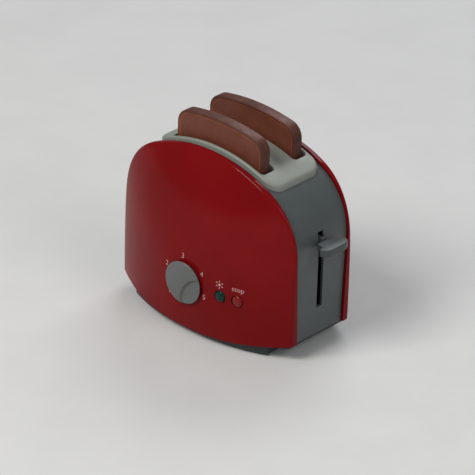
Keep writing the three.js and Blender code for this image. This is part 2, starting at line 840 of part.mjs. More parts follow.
function makeBase() {
  const shelfHalf = bodyHalfWidth - innerInset - seatGap;
  let base = solid(slabAlongZ(baseShape(panHalfLength, 0), 0, shelfTop));
  base = base.add(solid(slabAlongZ(baseShape(shelfHalf, 0), shelfFoot, shelfTop)));
  const hollow = slabAlongZ(baseShape(panHalfLength - baseWall, baseWall), baseFloor, shelfTop + overrun);
  base = base.subtract(solid(hollow));
  for (const sideX of [-1, 1]) {
    for (const sideY of [-1, 1]) {
      const x = sideX * bossX;
      const y = sideY * bossSpread;
      base = base.subtract(barAlongZ(x, y, screwShankRadius + slidingGap, 0, shelfTop + overrun));
      base = base.subtract(barAlongZ(x, y, screwHeadRadius + slidingGap, 0, shelfFoot + screwHeadHeight));
    }
  }
  const footY = domeAt(footX, 0) - baseInset - footRadius - footMargin;
  for (const sideX of [-1, 1]) {
    for (const sideY of [-1, 1]) {
      const radius = footRadius + slidingGap;
      const pocket = barAlongZ(sideX * footX, sideY * footY, radius, -overrun, footPocket, roundSegments);
      base = base.subtract(pocket);
    }
  }
  for (const side of [-1, 1]) {
    const middle = latchOffset + side * (latchWidth / 2 + seatGap + chuteWall / 2);
    const ear = block(
      latchX - latchThickness,
      latchX + latchThickness,
      middle - chuteWall / 2,
      middle + chuteWall / 2,
      baseFloor / 2,
      latchPivotHeight + latchThickness
    );
    base = base.add(ear);
  }
  base = base.subtract(latchBore());
  addPiece("base_plate", surface(base), "baseGrey");
  let count = 0;
  for (const sideX of [-1, 1]) {
    for (const sideY of [-1, 1]) {
      count += 1;
      const place = [sideX * footX, sideY * footY];
      const foot = barAlongZ(...place, footRadius, -footHeight, footPocket, roundSegments);
      addPiece("foot_" + count, surface(foot), "rubber");
      const profile = [
        [0, seatGap],
        [screwHeadRadius, seatGap],
        [screwHeadRadius, screwHeadHeight - slidingGap],
        [screwShankRadius, screwHeadHeight - slidingGap],
        [screwShankRadius, screwLength],
        [0, screwLength],
      ];
      const screw = turned(profile, smallSegments);
      const mesh = addPiece("base_screw_" + count, screw, "steel");
      mesh.rotation.x = Math.PI / 2;
      mesh.position.set(sideX * bossX, sideY * bossSpread, shelfFoot);
    }
  }
}

// A turned piece about its own Y axis, from pairs of radius and height
function turned(profile, segments) {
  const points = profile.map(([radius, height]) => new THREE.Vector2(radius, height));
  return new THREE.LatheGeometry(points, segments);
}

// Latch
function latchBore() {
  const reach = latchWidth / 2 + 2 * chuteWall;
  const radius = latchPinRadius + slidingGap;
  return barAlongY(latchX, latchPivotHeight, radius, reach - latchOffset, -latchOffset - reach);
}

function makeLatch() {
  const half = latchThickness / 2;
  const top = latchTop;
  const shape = new THREE.Shape();
  shape.moveTo(latchX - half, top);
  shape.lineTo(latchX - half, latchPivotHeight);
  shape.absarc(latchX, latchPivotHeight, half, Math.PI, 2 * Math.PI);
  shape.lineTo(latchX + half, top - noseHeight);
  shape.lineTo(latchX + half + noseReach, top - noseHeight);
  shape.lineTo(latchX + half + seatGap, top);
  shape.closePath();
  const front = -latchOffset + latchWidth / 2;
  const latch = solid(slabAlongY(shape, front, front - latchWidth)).subtract(latchBore());
  addPiece("latch_lever", surface(latch), "innerWhite");
  const pinReach = latchWidth / 2 + seatGap + chuteWall;
  const pinFront = pinReach - latchOffset;
  const pin = barAlongY(latchX, latchPivotHeight, latchPinRadius, pinFront, pinFront - 2 * pinReach);
  addPiece("latch_pin", surface(pin), "steel");
}

// Knob: a shallow dome with a scooped finger step, on a hub that fits the shaft
function makeKnob() {
  const back = domeDepth + knobGap;
  const profile = [[0, 0], [knobRadius - knobTaper, 0]];
  profile.push([knobRadius, knobThickness - knobCrown - knobEdgeRadius]);
  for (let step = 1; step <= edgeSegments; step++) {
    const turn = (step / edgeSegments) * (Math.PI / 2);
    profile.push([
      knobRadius - knobEdgeRadius * (1 - Math.cos(turn)),
      knobThickness - knobCrown - knobEdgeRadius * (1 - Math.sin(turn)),
    ]);
  }
  for (let step = edgeSegments - 1; step >= 0; step--) {
    const radius = ((knobRadius - knobEdgeRadius) * step) / edgeSegments;
    const share = radius / (knobRadius - knobEdgeRadius);
    profile.push([radius, knobThickness - knobCrown * share ** 2]);
  }
  const face = turned(profile, 2 * roundSegments);
  face.rotateX(Math.PI);
  face.translate(0, -back, knobHeight);
  const rimDepth = back + knobThickness - knobCrown;
  const scoopTop = rimDepth + overrun;
  const scoopFloor = rimDepth - scoopDepth;
  const scoop = taperAlongY(
    scoopOffsetX,
    knobHeight - scoopDrop,
    scoopRadius + scoopSlopeShare * (scoopTop - scoopFloor),
    scoopRadius,
    scoopTop,
    scoopFloor,
    2 * roundSegments
  );
  const hub = barAlongY(0, knobHeight, shaftHoleRadius - seatGap, back + knobGap, hubRear, roundSegments);
  const bore = barAlongY(0, knobHeight, shaftRadius + slidingGap, back + knobFloor, hubRear - overrun);
  const knob = joined(solid(face), hub).subtract(scoop).subtract(bore);
  addPiece("dial_knob", surface(knob), "knobGrey");
}
const hubRear = domeDepth - shellWall - knobThickness;

// Buttons with a dome, a flange behind the shell and a stem through the bracket
function buttonFlangeFront(x) {
  return domeAt(x + buttonFlangeRadius, buttonHeight) - shellWall - 2 * seatGap;
}

function makeButton(name, x, finish) {
  const flangeFront = buttonFlangeFront(x);
  const flangeRear = flangeFront - buttonFlange;
  const faceDepth = domeAt(x, buttonHeight);
  const stemRear = bracketDepth - bracketThickness - buttonStemTail;
  const profile = [[0, stemRear], [buttonStemRadius, stemRear]];
  profile.push([buttonStemRadius, flangeRear], [buttonFlangeRadius, flangeRear]);
  profile.push([buttonFlangeRadius, flangeFront], [buttonRadius, flangeFront]);
  for (let step = 0; step < 2 * edgeSegments; step++) {
    const turn = (step / (2 * edgeSegments)) * (Math.PI / 2);
    profile.push([buttonRadius * Math.cos(turn), faceDepth + buttonDome * Math.sin(turn)]);
  }
  profile.push([0, faceDepth + buttonDome]);
  const mesh = addPiece(name, turned(profile, roundSegments), finish);
  mesh.rotation.x = Math.PI;
  mesh.position.set(x, 0, buttonHeight);
}

function makeButtonSpring(name, x) {
  const front = buttonFlangeFront(x) - buttonFlange - seatGap - buttonSpringWire / 2;
  const rear = bracketDepth + seatGap + buttonSpringWire / 2;
  const radius = buttonStemRadius + buttonSpringWire / 2 + 2 * seatGap;
  const spring = helixGeometry(radius, buttonSpringWire, front - rear, buttonSpringTurns);
  const mesh = addPiece(name, spring, "steel");
  mesh.rotation.x = Math.PI / 2;
  mesh.position.set(x, -rear, buttonHeight);
}

function makeButtons() {
  makeButton("green_button", greenX, "greenGloss");
  makeButton("red_button", redX, "redGloss");
  makeButtonSpring("green_button_spring", greenX);
  makeButtonSpring("red_button_spring", redX);
  const half = (redX - greenX) / 2 + bracketEnd;
  const outline = roundedBox(half, bracketHeight / 2, bracketEnd / 2, bracketMiddle, buttonHeight);
  let bracket = solid(slabAlongY(outline, bracketDepth, bracketDepth - bracketThickness));
  for (const x of [greenX, redX]) {
    bracket = bracket.subtract(
      barAlongY(x, buttonHeight, buttonStemRadius + seatGap, bracketDepth + overrun, bracketDepth - overrun)
    );
  }
  addPiece("button_bracket", surface(bracket), "innerWhite");
}

// A spur gear's outline, with involute flanks that roll on the pitch circle
function gearShape(teeth, phase) {
  const pitch = (toothSize * teeth) / 2;
  const base = pitch * Math.cos(pressureAngle * degree);
  const tip = pitch + toothTipShare * toothSize;
  const root = pitch - toothRootShare * toothSize;
  const halfTooth = Math.PI / (2 * teeth) - gearPlay / (2 * pitch);
  const involute = (radius) => {
    const turn = Math.acos(Math.min(1, base / radius));
    return Math.tan(turn) - turn;
  };
  const shape = new THREE.Shape();
  const flank = [root, pitch, tip];
  let started = false;
  const draw = (radius, turn) => {
    const x = radius * Math.cos(turn);
    const y = radius * Math.sin(turn);
    if (started) {
      shape.lineTo(x, y);
    } else {
      shape.moveTo(x, y);
    }
    started = true;
  };
  for (let tooth = 0; tooth < teeth; tooth++) {
    const centre = phase + (tooth * 2 * Math.PI) / teeth;
    const width = (radius) => halfTooth + involute(pitch) - involute(radius);
    flank.forEach((radius) => draw(radius, centre - width(Math.max(radius, base))));
    [...flank].reverse().forEach((radius) => draw(radius, centre + width(Math.max(radius, base))));
  }
  shape.closePath();
  return shape;
}

// Phases that put a tooth of one wheel in a gap of the next
const secondPhase = secondBearing * degree;
const pinionHalfStep = Math.PI / pinionTeeth;

function gearSolid(x, z, teeth, phase, frontDepth) {
  const geometry = slabAlongY(gearShape(teeth, phase), frontDepth, frontDepth - gearThickness);
  geometry.translate(x, 0, z);
  return solid(geometry);
}

function makeTimer() {
  const shaftFront = domeDepth + knobGap + knobFloor - seatGap;
  const rearSeat = rearPlateDepth - plateThickness;
  const shaft = barAlongY(0, knobHeight, shaftRadius, shaftFront, rearSeat);
  addPiece("dial_shaft", surface(shaft), "steel");
  const bore = (x, z, radius) => barAlongY(x, z, radius + slidingGap, domeDepth, 0);
  const great = gearSolid(0, knobHeight, greatTeeth, secondPhase, greatDepth);
  addPiece("great_wheel", surface(great.subtract(bore(0, knobHeight, shaftRadius))), "brass");

  const pinion = gearSolid(secondX, secondZ, pinionTeeth, secondPhase + Math.PI + pinionHalfStep, greatDepth);
  const second = gearSolid(secondX, secondZ, secondTeeth, governorBearing * degree, secondDepth);
  const hubWidth = pinionHubShare * pinionPitch;
  const hubFront = greatDepth - gearThickness / 2;
  const secondHub = barAlongY(secondX, secondZ, hubWidth, hubFront, secondDepth - gearThickness / 2);
  const secondWheel = joined(pinion, second, secondHub).subtract(bore(secondX, secondZ, arborRadius));
  addPiece("second_wheel", surface(secondWheel), "brass");
  const arbor = (x, z) => barAlongY(x, z, arborRadius, frontPlateDepth, rearSeat);
  addPiece("second_arbor", surface(arbor(secondX, secondZ)), "steel");

  const fanPhase = governorBearing * degree + Math.PI + pinionHalfStep;
  const fanPinion = gearSolid(governorX, governorZ, pinionTeeth, fanPhase, secondDepth);
  const fanRear = governorDepth - gearThickness;
  let fan = barAlongY(governorX, governorZ, hubWidth, secondDepth - gearThickness / 2, fanRear);
  for (let vane = 0; vane < governorVanes; vane++) {
    const turn = (vane / governorVanes) * 2 * Math.PI;
    const blade = new THREE.BoxGeometry(governorRadius, gearThickness, ribWidth);
    blade.translate(governorRadius / 2, -(governorDepth + fanRear) / 2, 0);
    blade.rotateY(turn);
    blade.translate(governorX, 0, governorZ);
    fan = fan.add(solid(blade));
  }
  fan = joined(fan, fanPinion).subtract(bore(governorX, governorZ, arborRadius));
  addPiece("governor_wheel", surface(fan), "brass");
  addPiece("governor_arbor", surface(arbor(governorX, governorZ)), "steel");

  const outline = new THREE.Shape();
  outline.moveTo(plateLeft, plateLow);
  outline.lineTo(plateRight, plateLow);
  outline.lineTo(plateRight, plateHigh);
  outline.lineTo(plateLeft, plateHigh);
  outline.closePath();
  const arborHoles = [
    [0, knobHeight, shaftRadius],
    [secondX, secondZ, arborRadius],
    [governorX, governorZ, arborRadius],
  ];
  const plates = [
    ["timer_front_plate", frontPlateDepth],
    ["timer_rear_plate", rearPlateDepth],
  ];
  for (const [name, depth] of plates) {
    let plate = solid(slabAlongY(outline, depth, depth - plateThickness));
    for (const [x, z, radius] of arborHoles) {
      plate = plate.subtract(bore(x, z, radius));
    }
    addPiece(name, surface(plate), "steel");
  }
  const pillarFront = frontPlateDepth - plateThickness - seatGap;
  timerPosts.forEach(([x, z], number) => {
    const pillar = barAlongY(x, z, pillarRadius, pillarFront, rearPlateDepth + seatGap);
    addPiece("timer_pillar_" + (number + 1), surface(pillar), "steel");
  });
  addPiece("mainspring", mainspringGeometry(), "steel");
}

// Mainspring: a flat strip wound round the shaft in an even spiral
function mainspringGeometry() {
  const rings = [];
  const front = -springStripDepth;
  const rear = front + stripWidth;
  for (let step = 0; step <= stripTurns * spiralSteps; step++) {
    const turn = (step / spiralSteps) * 2 * Math.PI;
    const inner = stripInnerRadius + (stripPitch * step) / spiralSteps;
    const outer = inner + stripThickness;
    const point = (distance, y) => [distance * Math.cos(turn), y, knobHeight + distance * Math.sin(turn)];
    rings.push([point(outer, front), point(outer, rear), point(inner, rear), point(inner, front)]);
  }
  return loft(rings);
}

makeShells();
makeHousing();
makeCollar();
makeChutes();
makeToasts();
makeCarriage();
makeLever();
makeGuide();
makeBase();
makeLatch();
makeKnob();
makeButtons();
makeTimer();

export default toaster;
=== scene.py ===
"""Looks of the toy toaster: finer casings, bread, controls, base, springs and print round the fixed frame.

Metres, +Z up. X runs along the bread slots towards the lever, and -Y is the front with the knob.
"""
import json
import math
from collections import Counter

import bmesh
import bpy
from mathutils import Matrix, Vector
from mathutils.geometry import delaunay_2d_cdt


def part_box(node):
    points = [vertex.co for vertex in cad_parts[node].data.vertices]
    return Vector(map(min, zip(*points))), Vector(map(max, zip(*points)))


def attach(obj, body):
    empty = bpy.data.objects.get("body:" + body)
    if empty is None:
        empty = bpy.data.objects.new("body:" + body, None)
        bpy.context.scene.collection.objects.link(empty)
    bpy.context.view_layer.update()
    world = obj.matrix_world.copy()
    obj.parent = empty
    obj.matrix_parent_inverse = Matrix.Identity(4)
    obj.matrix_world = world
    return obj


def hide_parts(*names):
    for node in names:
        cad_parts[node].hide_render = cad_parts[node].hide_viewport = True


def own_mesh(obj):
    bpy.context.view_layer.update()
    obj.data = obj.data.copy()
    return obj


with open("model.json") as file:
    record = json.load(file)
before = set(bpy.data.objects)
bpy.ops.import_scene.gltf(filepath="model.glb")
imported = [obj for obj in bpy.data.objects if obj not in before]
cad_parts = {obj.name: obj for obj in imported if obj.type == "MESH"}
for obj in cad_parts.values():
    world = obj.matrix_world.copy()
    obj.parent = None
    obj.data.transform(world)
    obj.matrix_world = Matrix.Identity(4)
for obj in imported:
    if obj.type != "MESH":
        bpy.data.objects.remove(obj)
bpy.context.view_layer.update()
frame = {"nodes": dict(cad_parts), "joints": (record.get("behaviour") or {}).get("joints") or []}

MM = 0.001

# Body outline and domes, the same sizes as the solid model has
BODY_HALF_WIDTH = 87.3 * MM
BODY_HEIGHT = 145.5 * MM
SHOULDER_RADIUS = 53.5 * MM
TOP_RADIUS = 130 * MM
SIDE_FOOT = 11.5 * MM
SMILE_HEIGHT = 3.5 * MM
DOME_PLAN_RADIUS = 165 * MM
DOME_WAIST = 38.5 * MM
DOME_BLEND_POWER = 1.5
SHELL_WALL = 2.2 * MM
SHELL_EDGE = 1.5 * MM
RIM_DEPTH_TOP = 31 * MM
RIM_DEPTH_BOTTOM = 25.5 * MM
DOME_SIDE_LAND = 1 * MM
DOME_TOP_LAND = 2.45 * MM
PLAN_SAG = DOME_PLAN_RADIUS - math.sqrt(DOME_PLAN_RADIUS ** 2 - BODY_HALF_WIDTH ** 2)
DOME_DEPTH = RIM_DEPTH_TOP + DOME_SIDE_LAND + PLAN_SAG
TOP_DROP = DOME_DEPTH - RIM_DEPTH_TOP - DOME_TOP_LAND
DOME_RISE_RADIUS = TOP_DROP / 2 + (BODY_HEIGHT - DOME_WAIST) ** 2 / (2 * TOP_DROP)
SEAM_GAP = 0.3 * MM

HOUSING_WALL = 2.2 * MM
HOUSING_INSET = SHELL_WALL
INNER_INSET = HOUSING_INSET + HOUSING_WALL
HOUSING_EDGE = 0.5 * MM
BOSS_X = BODY_HALF_WIDTH - 11 * MM
BOSS_SPREAD = 17 * MM
BOSS_RADIUS = 4 * MM
BOSS_HEIGHT = 17 * MM
WEB_CORNER = 0.25 * MM
BORE_RADIUS = 1.65 * MM
SCREW_TOP = 19.8 * MM
SEAT_GAP = 0.3 * MM

COLLAR_HALF_LENGTH = 60 * MM
COLLAR_HALF_WIDTH = 27.4 * MM
COLLAR_CORNER = 11 * MM
COLLAR_PROUD = 4 * MM
COLLAR_UNDER = HOUSING_INSET - COLLAR_PROUD + 10.4 * MM
COLLAR_LIP = 1.6 * MM
COLLAR_LAND = 0.2 * MM
SLOT_LENGTH = 92 * MM
SLOT_WIDTH = 13.6 * MM
SLOT_CORNER = 3 * MM
SLOT_OFFSET = 17.7 * MM
SLOT_LIP = COLLAR_HALF_WIDTH - SLOT_OFFSET - SLOT_WIDTH / 2 - COLLAR_LIP - COLLAR_LAND

TOAST_WIDTH = 86 * MM
TOAST_FOOT = 77.8 * MM
TOAST_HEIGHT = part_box("toast_front")[1].z - TOAST_FOOT
TOAST_THICKNESS = 9.5 * MM
TOAST_TOP_CORNER = 12 * MM
TOAST_LOW_CORNER = 6 * MM
TOAST_CROWN = 3 * MM
TOAST_LEAN = math.atan2(2 * TOAST_CROWN, TOAST_WIDTH / 2)
TOAST_ROUND = 1.1 * MM
CRUST_WIDTH = 2.2 * MM
CRUST_SLOPE = 0.7 * MM
CRUST_RECESS = 0.6 * MM
# Numbers of a slice's looks, from its edge to its face. LINE is a painted highlight: a lighter colour on the
# step into the face's recess, where light catches the edge
CRUST, LINE, FACE = range(3)

LEVER_REACH = 14.5 * MM
LEVER_WIDTH = 28 * MM
LEVER_ROOT_WIDTH = 17 * MM
LEVER_BEVEL = 1.4 * MM

LEVER_SLOT_WIDTH = 6 * MM
LEVER_SLOT_LOW = 34 * MM
LEVER_SLOT_HIGH = 97 * MM
SLOT_CUT_CORNER = 0.1 * MM

KNOB_HEIGHT = 43.6 * MM
KNOB_RADIUS = 17.3 * MM
KNOB_THICKNESS = 3.4 * MM
KNOB_TAPER = 1 * MM
KNOB_FLOOR = 2.1 * MM
KNOB_GAP = 0.5 * MM
KNOB_CROWN = 0.7 * MM
KNOB_EDGE = 0.9 * MM
SCOOP_RADIUS = 24.2 * MM
SCOOP_X = 23.5 * MM
SCOOP_DROP = 15.9 * MM
SCOOP_DEPTH = 1.25 * MM
SCOOP_SLOPE_SHARE = 0.8
SHAFT_HOLE_RADIUS = 4 * MM
HUB_RADIUS = 3.7 * MM
HUB_REAR = DOME_DEPTH - SHELL_WALL - KNOB_THICKNESS
KNOB_BORE = 2.75 * MM

BUTTON_RADIUS = 4.5 * MM
BUTTON_DOME = 1.8 * MM
BUTTON_GAP = 0.3 * MM
BUTTON_HEIGHT = 42.6 * MM
GREEN_X = 33 * MM
RED_X = 47.2 * MM
BUTTON_FLANGE_RADIUS = 5.8 * MM
BUTTON_FLANGE = 1.2 * MM
BUTTON_STEM = 1.8 * MM

# Base with its shelf, feet and screws
BASE_INSET = 3.2 * MM
BASE_FLOOR = 2.4 * MM
BASE_WALL = 2 * MM
BASE_EDGE = 0.7 * MM
PAN_HALF = BODY_HALF_WIDTH - 19.3 * MM
SHELF_HALF = BODY_HALF_WIDTH - INNER_INSET - SEAT_GAP
SHELF_TOP = SIDE_FOOT - SEAT_GAP
SHELF_THICKNESS = 3.4 * MM
SHELF_FOOT = SHELF_TOP - SHELF_THICKNESS
FOOT_X = PAN_HALF - 12 * MM
FOOT_RADIUS = 6 * MM
FOOT_MARGIN = 6.5 * MM
FOOT_HEIGHT = 1.5 * MM
FOOT_POCKET = 0.8 * MM
FOOT_EDGE = 0.4 * MM
SLIDING_GAP = 0.25 * MM
HEAD_RADIUS = 3 * MM
HEAD_HEIGHT = 1.6 * MM
HEAD_EDGE = 0.3 * MM
SHANK_RADIUS = 1.4 * MM
RECESS_REACH = 1.8 * MM
RECESS_WIDTH = 0.7 * MM
RECESS_DEPTH = 0.6 * MM
LATCH_X = COLLAR_HALF_LENGTH - 0.4 * MM
LATCH_OFFSET = 9 * MM
LATCH_WIDTH = 4.6 * MM
LATCH_THICKNESS = 2.6 * MM
LATCH_PIVOT = 9 * MM
LATCH_BORE = 1.45 * MM
EAR_WALL = 1.4 * MM

# Print on the front: bearings of the dial's figures are counted clockwise from the top
DIAL_MARKS = (("1", -132), ("2", -66), ("3", -8), ("4", 54), ("5", 108))
DIAL_SHIFT = -0.7 * MM
DIAL_RADIUS = 20.7 * MM
STROKE_TRIM = 0.05 * MM
DIGIT_SIZE = 5.9 * MM
STOP_SIZE = 5.7 * MM
STOP_SHIFT = 0.5 * MM
STOP_RISE = 8.7 * MM
RAYS_SHIFT = -0.6 * MM
RAYS_RISE = 9.7 * MM
RAY_COUNT = 6
RAY_WIDTH = 0.75 * MM
STAR_REACH = 1 * MM
DASH_START = 2.1 * MM
DASH_END = 3.3 * MM
PRINT_LIFT = 0.06 * MM

# Springs: wire and number of turns
SPRING_FORMS = {
    "carriage_spring": (0.9 * MM, 16),
    "green_button_spring": (0.6 * MM, 4),
    "red_button_spring": (0.6 * MM, 4),
}

OVERRUN = 4 * MM
MERGE_DISTANCE = 0.001 * MM

# How finely the pieces are drawn
ARCH_STEPS = 144
SIDE_STEPS = 48
PATH_STEPS = ARCH_STEPS + 2 * SIDE_STEPS
EDGE_STEPS = 6
CORNER_STEPS = 12
OUTLINE_SPACING = 2 * MM
FILL_SPACING = 4 * MM
CROWN_STEPS = 48
TOAST_CORNER_STEPS = 14
BAR_STEPS = 96
KNOB_TURN_STEPS = 144
CONTROL_STEPS = 16
SCOOP_STEPS = 192
BUTTON_TURN_STEPS = 72
LEVER_ROOT_STEPS = 16
LEVER_TIP_STEPS = 24
LEVER_BEVEL_STEPS = 6
BASE_STEPS = 80
BASE_BEVEL_STEPS = 4
FOOT_TURN_STEPS = 64
SCREW_TURN_STEPS = 48
COIL_STEPS = 24
WIRE_SIDES = 10

# Edges that turn by less than these degrees are shaded as smooth, or stay without a bevel
PLAIN_ANGLE = 40
CURVED_ANGLE = 50
KNOB_ANGLE = 30
LEVER_ANGLE = 35
COIL_ANGLE = 60
LEVER_BEVEL_ANGLE = 50
BASE_BEVEL_ANGLE = 60

# Noises: scale, detail and roughness. The grain's scale is in the table of plastics
TONE_NOISE = (18, 3, 0.5)
WEAR_NOISE = (90, 6, 0.6)
CLOUD_NOISE = (60, 4, 0.5)
ROLLING_NOISE = (900, 2, 0.5)
BROWNING_NOISE = (55, 6, 0.6)
GRAIN_DETAIL = (2, 0.5)

# Stretch of a noise over which a look changes
NOISE_RANGE = (0.35, 0.65)
BROWNING_RANGE = (0.3, 0.7)

ROLLING_HEIGHT = 0.02 * MM
BROWNING_GLOSS = (0.38, 0.6)
BROWNING_LEVEL = 0.3

# Share of their colour that a material's darker patches keep
SHADE_SHARE = 0.84
FLOOR_SHADE_SHARE = 0.97

# Plastics: name, colour, least and greatest roughness, scale and height of the grain,
# and specular level
PLASTICS = {
    "shell": ("shell_red", (0.19, 0.004, 0.0055), (0.1, 0.14), (700, 0.006 * MM), 0.09),
    "housing": ("housing_grey", (0.068, 0.08, 0.08), (0.38, 0.5), (2600, 0.02 * MM), 0.5),
    "collar": ("collar_grey", (0.25, 0.27, 0.235), (0.36, 0.48), (2600, 0.015 * MM), 0.5),
    "base": ("base_black", (0.026, 0.029, 0.031), (0.5, 0.65), (2200, 0.03 * MM), 0.5),
    "knob": ("knob_grey", (0.12, 0.128, 0.124), (0.3, 0.42), (2600, 0.015 * MM), 0.5),
    "lever": ("lever_grey", (0.04, 0.048, 0.05), (0.34, 0.46), (2600, 0.015 * MM), 0.5),
    "inner": ("inner_grey", (0.05, 0.055, 0.055), (0.5, 0.65), (1800, 0.02 * MM), 0.5),
    "green": ("button_green", (0.002, 0.03, 0.023), (0.09, 0.13), (500, 0.003 * MM), 0.2),
    "red": ("button_red", (0.19, 0.006, 0.005), (0.09, 0.13), (500, 0.003 * MM), 0.3),
    "print": ("print_pink", (0.62, 0.38, 0.37), (0.3, 0.4), (900, 0.004 * MM), 0.3),
    "rubber": ("foot_rubber", (0.016, 0.016, 0.016), (0.7, 0.85), (1500, 0.04 * MM), 0.5),
    "floor": ("floor_pale", (0.66, 0.66, 0.65), (0.6, 0.75), (40, 0.01 * MM), 0.5, FLOOR_SHADE_SHARE),
}

# Metals: name, colour, least and greatest roughness
METALS = {
    "steel": ("plain_steel", (0.5, 0.51, 0.52), (0.25, 0.4)),
    "brass": ("stamped_brass", (0.6, 0.44, 0.18), (0.28, 0.42)),
}

# Baked bread: name, light and dark colours, noise of the crumb and height of its pores
BREADS = {
    "toast": ("toast_face", (0.175, 0.05, 0.027), (0.12, 0.033, 0.019), (420, 5, 0.65), 0.22 * MM),
    "crust": ("toast_crust", (0.12, 0.034, 0.018), (0.06, 0.018, 0.011), (260, 5, 0.65), 0.2 * MM),
    # The line's lighter orange is a painted highlight, standing for light that catches the edge of the
    # face's recess
    "crust_line": ("toast_line", (0.36, 0.1, 0.038), (0.27, 0.07, 0.028), (300, 5, 0.65), 0.1 * MM),
}

# Stage in metres: lamps as place, size, watts and colour
FLOOR_HALF = 2.5
LAMPS = {
    "key": ((-0.35, -1.45, 1.75), (1, 1), 34, (1, 0.98, 0.95)),
    "side": ((1.5, -0.1, 1.0), (0.9, 1.4), 9, (0.97, 0.98, 1)),
    "back": ((-0.6, 1.4, 1.6), (1.2, 0.8), 14, (0.95, 0.97, 1)),
}
LAMP_AIM = Vector((0, 0, 70 * MM))
ROOM_COLOUR = (0.8, 0.82, 0.85, 1)
ROOM_STRENGTH = 0.27

# Camera, solved from the photograph: place, right, up and view directions, and focal length in pixels
IMAGE_PIXELS = 475
FOCAL_PIXELS = 3708
SENSOR_WIDTH = 36
CAMERA_PLACE = Vector((1656.8, -1854.7, 1393.8)) * MM
CAMERA_RIGHT = Vector((0.73607, 0.67638, 0.02681))
CAMERA_UP = Vector((-0.33734, 0.33220, 0.88082))
CAMERA_VIEW = Vector((-0.58685, 0.65739, -0.47270))
CAMERA_REACH = 20


def make_camera():
    camera = bpy.data.cameras.new("photo_camera")
    camera.sensor_width = SENSOR_WIDTH
    camera.lens = SENSOR_WIDTH * FOCAL_PIXELS / IMAGE_PIXELS
    camera.clip_end = CAMERA_REACH
    holder = bpy.data.objects.new("photo_camera", camera)
    turn = Matrix((CAMERA_RIGHT, CAMERA_UP, -CAMERA_VIEW)).transposed().to_4x4()
    holder.matrix_world = Matrix.Translation(CAMERA_PLACE) @ turn
    bpy.context.scene.collection.objects.link(holder)
    bpy.context.scene.camera = holder


# Materials

def new_material(name):
    material = bpy.data.materials.new(name)
    material.use_nodes = True
    nodes = material.node_tree.nodes
    shader = nodes["Principled BSDF"]
    return material, nodes, material.node_tree.links, shader


def noise(nodes, links, scale, detail, rough):
    """Noise laid out in the piece's own coordinates."""
    place = nodes.new("ShaderNodeTexCoord")
    texture = nodes.new("ShaderNodeTexNoise")
    texture.inputs["Scale"].default_value = scale
    texture.inputs["Detail"].default_value = detail
    texture.inputs["Roughness"].default_value = rough
    links.new(place.outputs["Object"], texture.inputs["Vector"])
    return texture.outputs["Fac"]


def spread(nodes, links, factor, low, high, stretch=NOISE_RANGE):
    """A ramp from one value to another over a stretch of the noise."""
    ramp = nodes.new("ShaderNodeMapRange")
    ramp.inputs["From Min"].default_value, ramp.inputs["From Max"].default_value = stretch
    ramp.inputs["To Min"].default_value = low
    ramp.inputs["To Max"].default_value = high
    links.new(factor, ramp.inputs["Value"])
    return ramp.outputs["Result"]


def colour_mix(nodes, links, factor, first, second):
    mix = nodes.new("ShaderNodeMix")
    mix.data_type = "RGBA"
    mix.inputs["A"].default_value = (*first, 1)
    mix.inputs["B"].default_value = (*second, 1)
    links.new(factor, mix.inputs["Factor"])
    return mix.outputs["Result"]


def bump(nodes, links, shader, factor, height):
    node = nodes.new("ShaderNodeBump")
    node.inputs["Distance"].default_value = height
    links.new(factor, node.inputs["Height"])
    links.new(node.outputs["Normal"], shader.inputs["Normal"])


def plastic(name, colour, gloss, grain, level, shade_share=SHADE_SHARE):
    """Moulded plastic: a slow change of tone, uneven gloss between two roughnesses and a fine grain."""
    material, nodes, links, shader = new_material(name)
    tone = spread(nodes, links, noise(nodes, links, *TONE_NOISE), 0, 1)
    shade = [part * shade_share for part in colour]
    links.new(colour_mix(nodes, links, tone, colour, shade), shader.inputs["Base Color"])
    wear = spread(nodes, links, noise(nodes, links, *WEAR_NOISE), *gloss)
    links.new(wear, shader.inputs["Roughness"])
    shader.inputs["Specular IOR Level"].default_value = level
    grain_scale, grain_height = grain
    bump(nodes, links, shader, noise(nodes, links, grain_scale, *GRAIN_DETAIL), grain_height)
    return material


def metal(name, colour, gloss):
    """Bare metal: clouded tone, uneven polish and fine rolling marks."""
    material, nodes, links, shader = new_material(name)
    cloud = noise(nodes, links, *CLOUD_NOISE)
    tone = spread(nodes, links, cloud, 0, 1)
    shade = [part * SHADE_SHARE for part in colour]
    links.new(colour_mix(nodes, links, tone, colour, shade), shader.inputs["Base Color"])
    links.new(spread(nodes, links, cloud, *gloss), shader.inputs["Roughness"])
    shader.inputs["Metallic"].default_value = 1
    bump(nodes, links, shader, noise(nodes, links, *ROLLING_NOISE), ROLLING_HEIGHT)
    return material


def bread(name, light, dark, crumb, pore_height):
    """Baked bread in moulded plastic: blotched browning, small pores and a soft sheen."""
    material, nodes, links, shader = new_material(name)
    blotch = noise(nodes, links, *BROWNING_NOISE)
    tone = spread(nodes, links, blotch, 0, 1, BROWNING_RANGE)
    links.new(colour_mix(nodes, links, tone, light, dark), shader.inputs["Base Color"])
    links.new(spread(nodes, links, blotch, *BROWNING_GLOSS), shader.inputs["Roughness"])
    shader.inputs["Specular IOR Level"].default_value = BROWNING_LEVEL
    bump(nodes, links, shader, noise(nodes, links, *crumb), pore_height)
    return material


def make_materials():
    materials = {}
    for maker, looks in ((plastic, PLASTICS), (metal, METALS), (bread, BREADS)):
        for look, values in looks.items():
            materials[look] = maker(*values)
    return materials


# Mesh helpers

def new_object(name, points, faces, material, angle=PLAIN_ANGLE):
    mesh = bpy.data.meshes.new(name)
    mesh.from_pydata(points, [], faces)
    mesh.validate()
    mesh.update()
    thing = bpy.data.objects.new(name, mesh)
    bpy.context.scene.collection.objects.link(thing)
    mesh.materials.append(material)
    smooth(thing, angle)
    return thing


def in_rows(total, count):
    """The numbers of a mesh's points in rows of the same length."""
    return [list(range(first, first + count)) for first in range(0, total, count)]


